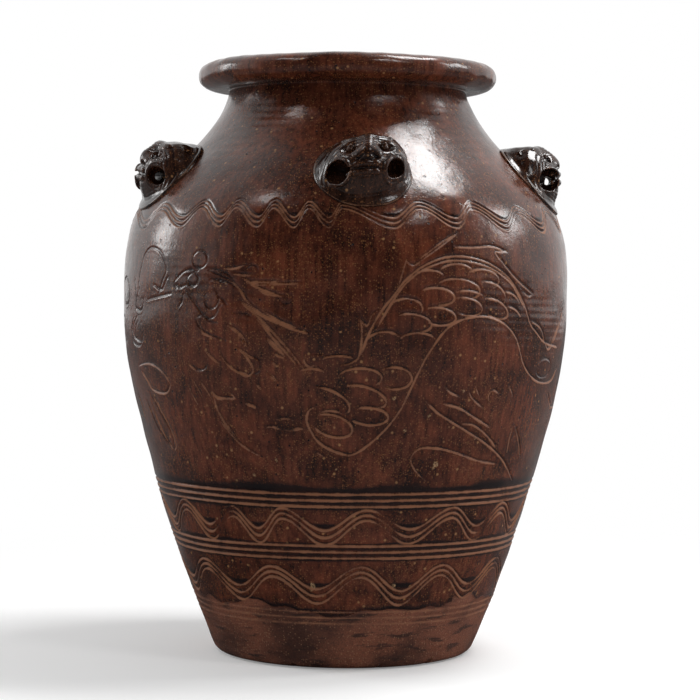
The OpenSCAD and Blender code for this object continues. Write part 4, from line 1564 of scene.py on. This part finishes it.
@dataclass(frozen=True)
class Softbox:
    """A studio lamp whose reflection shows on the glaze."""

    name: str
    toward: tuple[float, float, float]
    aim: tuple[float, float, float]
    size: tuple[float, float]
    power: float
    distance: float = 1.9

    def build(self) -> None:
        """Hangs the lamp."""
        data = bpy.data.lights.new(self.name, "AREA")
        data.shape = "RECTANGLE"
        data.size, data.size_y = self.size
        data.energy = self.power
        lamp = bpy.data.objects.new(self.name, data)
        direction = Vector(self.toward).normalized()
        lamp.location = Vector(self.aim) + direction * self.distance
        lamp.rotation_euler = direction.to_track_quat("Z", "Y").to_euler()
        bpy.context.scene.collection.objects.link(lamp)


@dataclass
class Studio:
    """White floor and surroundings, soft lamps and the camera."""

    lamps: tuple[Softbox, ...] = (
        Softbox("overhead_box", (0.38, 0.18, 0.91), (0.09, -0.14, 0.50), (0.75, 0.55), 26.0),
        Softbox("right_box", (0.87, 0.13, 0.475), (0.16, -0.13, 0.44), (0.5, 0.7), 14.0),
        Softbox("front_box", (0.48, -0.57, 0.67), (0.07, -0.19, 0.45), (0.34, 0.34), 4.6),
        Softbox("upper_left_box", (-0.50, -0.24, 0.83), (-0.08, -0.15, 0.48), (0.36, 0.32), 3.6),
        Softbox("left_box", (-0.89, 0.34, 0.30), (-0.18, -0.1, 0.44), (0.4, 0.8), 9.0),
    )
    camera_distance: float = 2.2
    camera_height: float = 0.369
    aim_height: float = 0.291
    focal_pixels: float = 2201.0
    centre_pixel: tuple[float, float] = (345.3, 358.0)
    roll: float = 0.47
    frame_pixels: int = 700

    def camera(self) -> None:
        """Stands the camera where the photograph was taken from."""
        data = bpy.data.cameras.new("view_camera")
        data.sensor_width = 36.0
        data.lens = self.focal_pixels / self.frame_pixels * data.sensor_width
        data.shift_x = (self.frame_pixels / 2 - self.centre_pixel[0]) / self.frame_pixels
        data.shift_y = (self.centre_pixel[1] - self.frame_pixels / 2) / self.frame_pixels
        data.clip_end = 60.0
        place = Vector((0.0, -self.camera_distance, self.camera_height))
        forward = (Vector((0.0, 0.0, self.aim_height)) - place).normalized()
        right = forward.cross(Vector((0.0, 0.0, 1.0))).normalized()
        up = right.cross(forward)
        tilt = math.radians(self.roll)
        right, up = right * math.cos(tilt) + up * math.sin(tilt), up * math.cos(tilt) - right * math.sin(tilt)
        made = bpy.data.objects.new("view_camera", data)
        turn = Matrix((right, up, -forward)).transposed()
        made.matrix_world = Matrix.Translation(place) @ turn.to_4x4()
        bpy.context.scene.collection.objects.link(made)
        bpy.context.scene.camera = made

    def floor(self) -> None:
        """Lays the pale floor, which keeps the jar's shadow."""
        turn = np.arange(96) * TAU / 96
        radii = np.geomspace(150.0, 14000.0, 14)[:, None]
        rings = np.stack([radii * np.cos(turn), radii * np.sin(turn), -0.4 + 0.0 * radii * turn], -1)
        lathe = Lathe()
        numbers = lathe.rings(rings)
        lathe.skin(numbers[::-1], (0.0, 0.9), 1)
        lathe.cap(numbers[0], False)
        made = make_object("studio_floor", np.concatenate(lathe.points), lathe.faces, lathe.maps)
        material = bpy.data.materials.new("pale_floor")
        material.use_nodes = True
        graph = Graph(material.node_tree)
        ray = graph.put("ShaderNodeLightPath").outputs
        fleck = graph.noise(graph.place(), 9.0, 3.0)
        colour = graph.mix(fleck, (0.80, 0.80, 0.80), (0.84, 0.84, 0.84))
        colour = graph.mix(ray["Is Glossy Ray"], colour, (0.13, 0.12, 0.12))
        paper = graph.put("ShaderNodeBsdfPrincipled", {"Base Color": colour, "Roughness": 0.9})
        paper.inputs["Specular IOR Level"].default_value = 0.1
        glow = graph.put("ShaderNodeEmission", {"Strength": graph.math("MULTIPLY", ray["Is Camera Ray"], 0.2)})
        near = graph.put("ShaderNodeAddShader", {0: paper.outputs[0], 1: glow.outputs[0]})
        white = graph.put("ShaderNodeEmission", {"Color": (1.0, 1.0, 1.0, 1.0), "Strength": 1.0})
        run = graph.put("ShaderNodeVectorMath", {0: graph.place()}, operation="LENGTH").outputs["Value"]
        seen = graph.math("ADD", ray["Is Camera Ray"], graph.math("MULTIPLY", ray["Is Glossy Ray"], 0.12))
        far = graph.math("MULTIPLY", graph.band(run, 0.3, 1.1), seen)
        both = graph.put("ShaderNodeMixShader", {0: far, 1: near.outputs[0], 2: white.outputs[0]})
        graph.put("ShaderNodeOutputMaterial", {"Surface": both.outputs[0]})
        made.data.materials.append(material)

    def surroundings(self) -> None:
        """White backdrop all round for the camera; the lit studio for everything else."""
        world = bpy.data.worlds.new("white_studio")
        bpy.context.scene.world = world
        world.use_nodes = True
        graph = Graph(world.node_tree)
        ray = graph.put("ShaderNodeLightPath").outputs
        direction = graph.put("ShaderNodeTexCoord").outputs["Generated"]
        parts = graph.put("ShaderNodeSeparateXYZ", {0: direction}).outputs
        sheets = graph.band(graph.math("ADD", graph.math("ABSOLUTE", parts["X"]), parts["Y"]), 0.15, 1.05)
        seen = graph.math("ADD", ray["Is Glossy Ray"], ray["Is Transmission Ray"])
        white = graph.math("ADD", ray["Is Camera Ray"], graph.math("MULTIPLY", seen, graph.span(sheets, 0.02, 1.05)))
        dim = graph.put("ShaderNodeBackground", {"Color": (1.0, 1.0, 1.0, 1.0), "Strength": 0.42})
        bright = graph.put("ShaderNodeBackground", {"Color": (1.0, 1.0, 1.0, 1.0), "Strength": 1.0})
        black = graph.put("ShaderNodeBackground", {"Color": (0.0, 0.0, 0.0, 1.0), "Strength": 0.0})
        lit = graph.put("ShaderNodeMixShader", {0: ray["Is Glossy Ray"], 1: dim.outputs[0], 2: black.outputs[0]})
        both = graph.put("ShaderNodeMixShader", {0: white, 1: lit.outputs[0], 2: bright.outputs[0]})
        graph.put("ShaderNodeOutputWorld", {"Surface": both.outputs[0]})

    def build(self) -> None:
        """Sets up everything that isn't the jar."""
        self.camera()
        self.floor()
        self.surroundings()
        for lamp in self.lamps:
            lamp.build()
        bpy.context.scene.view_settings.view_transform = "Standard"


def corners(bounds: Iterable) -> list[list[float]]:
    """The low and high corners of a box as plain numbers."""
    return [[float(value) for value in corner] for corner in bounds]


def main() -> None:
    """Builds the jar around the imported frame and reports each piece."""
    logging.basicConfig(level=logging.INFO, format="%(name)s: %(message)s")
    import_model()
    Studio().build()
    wall_glaze = Glaze("brown_iron_glaze").material()
    lug_glaze = Glaze(
        "pooled_iron_glaze",
        thick=(0.0065, 0.0024, 0.0018),
        thin=(0.030, 0.0110, 0.0060),
        worn_and_lit_edge=(0.16, 0.072, 0.036),
        speck_amount=0.15,
        pinholes=0.03,
        gloss=(0.12, 0.26),
    ).material()
    body = ThrownBody(wall_glaze, Clay().material())
    body.build()
    for side in Side:
        LionLug(side, lug_glaze, body.outline).build()


if __name__ == "__main__":
    main()
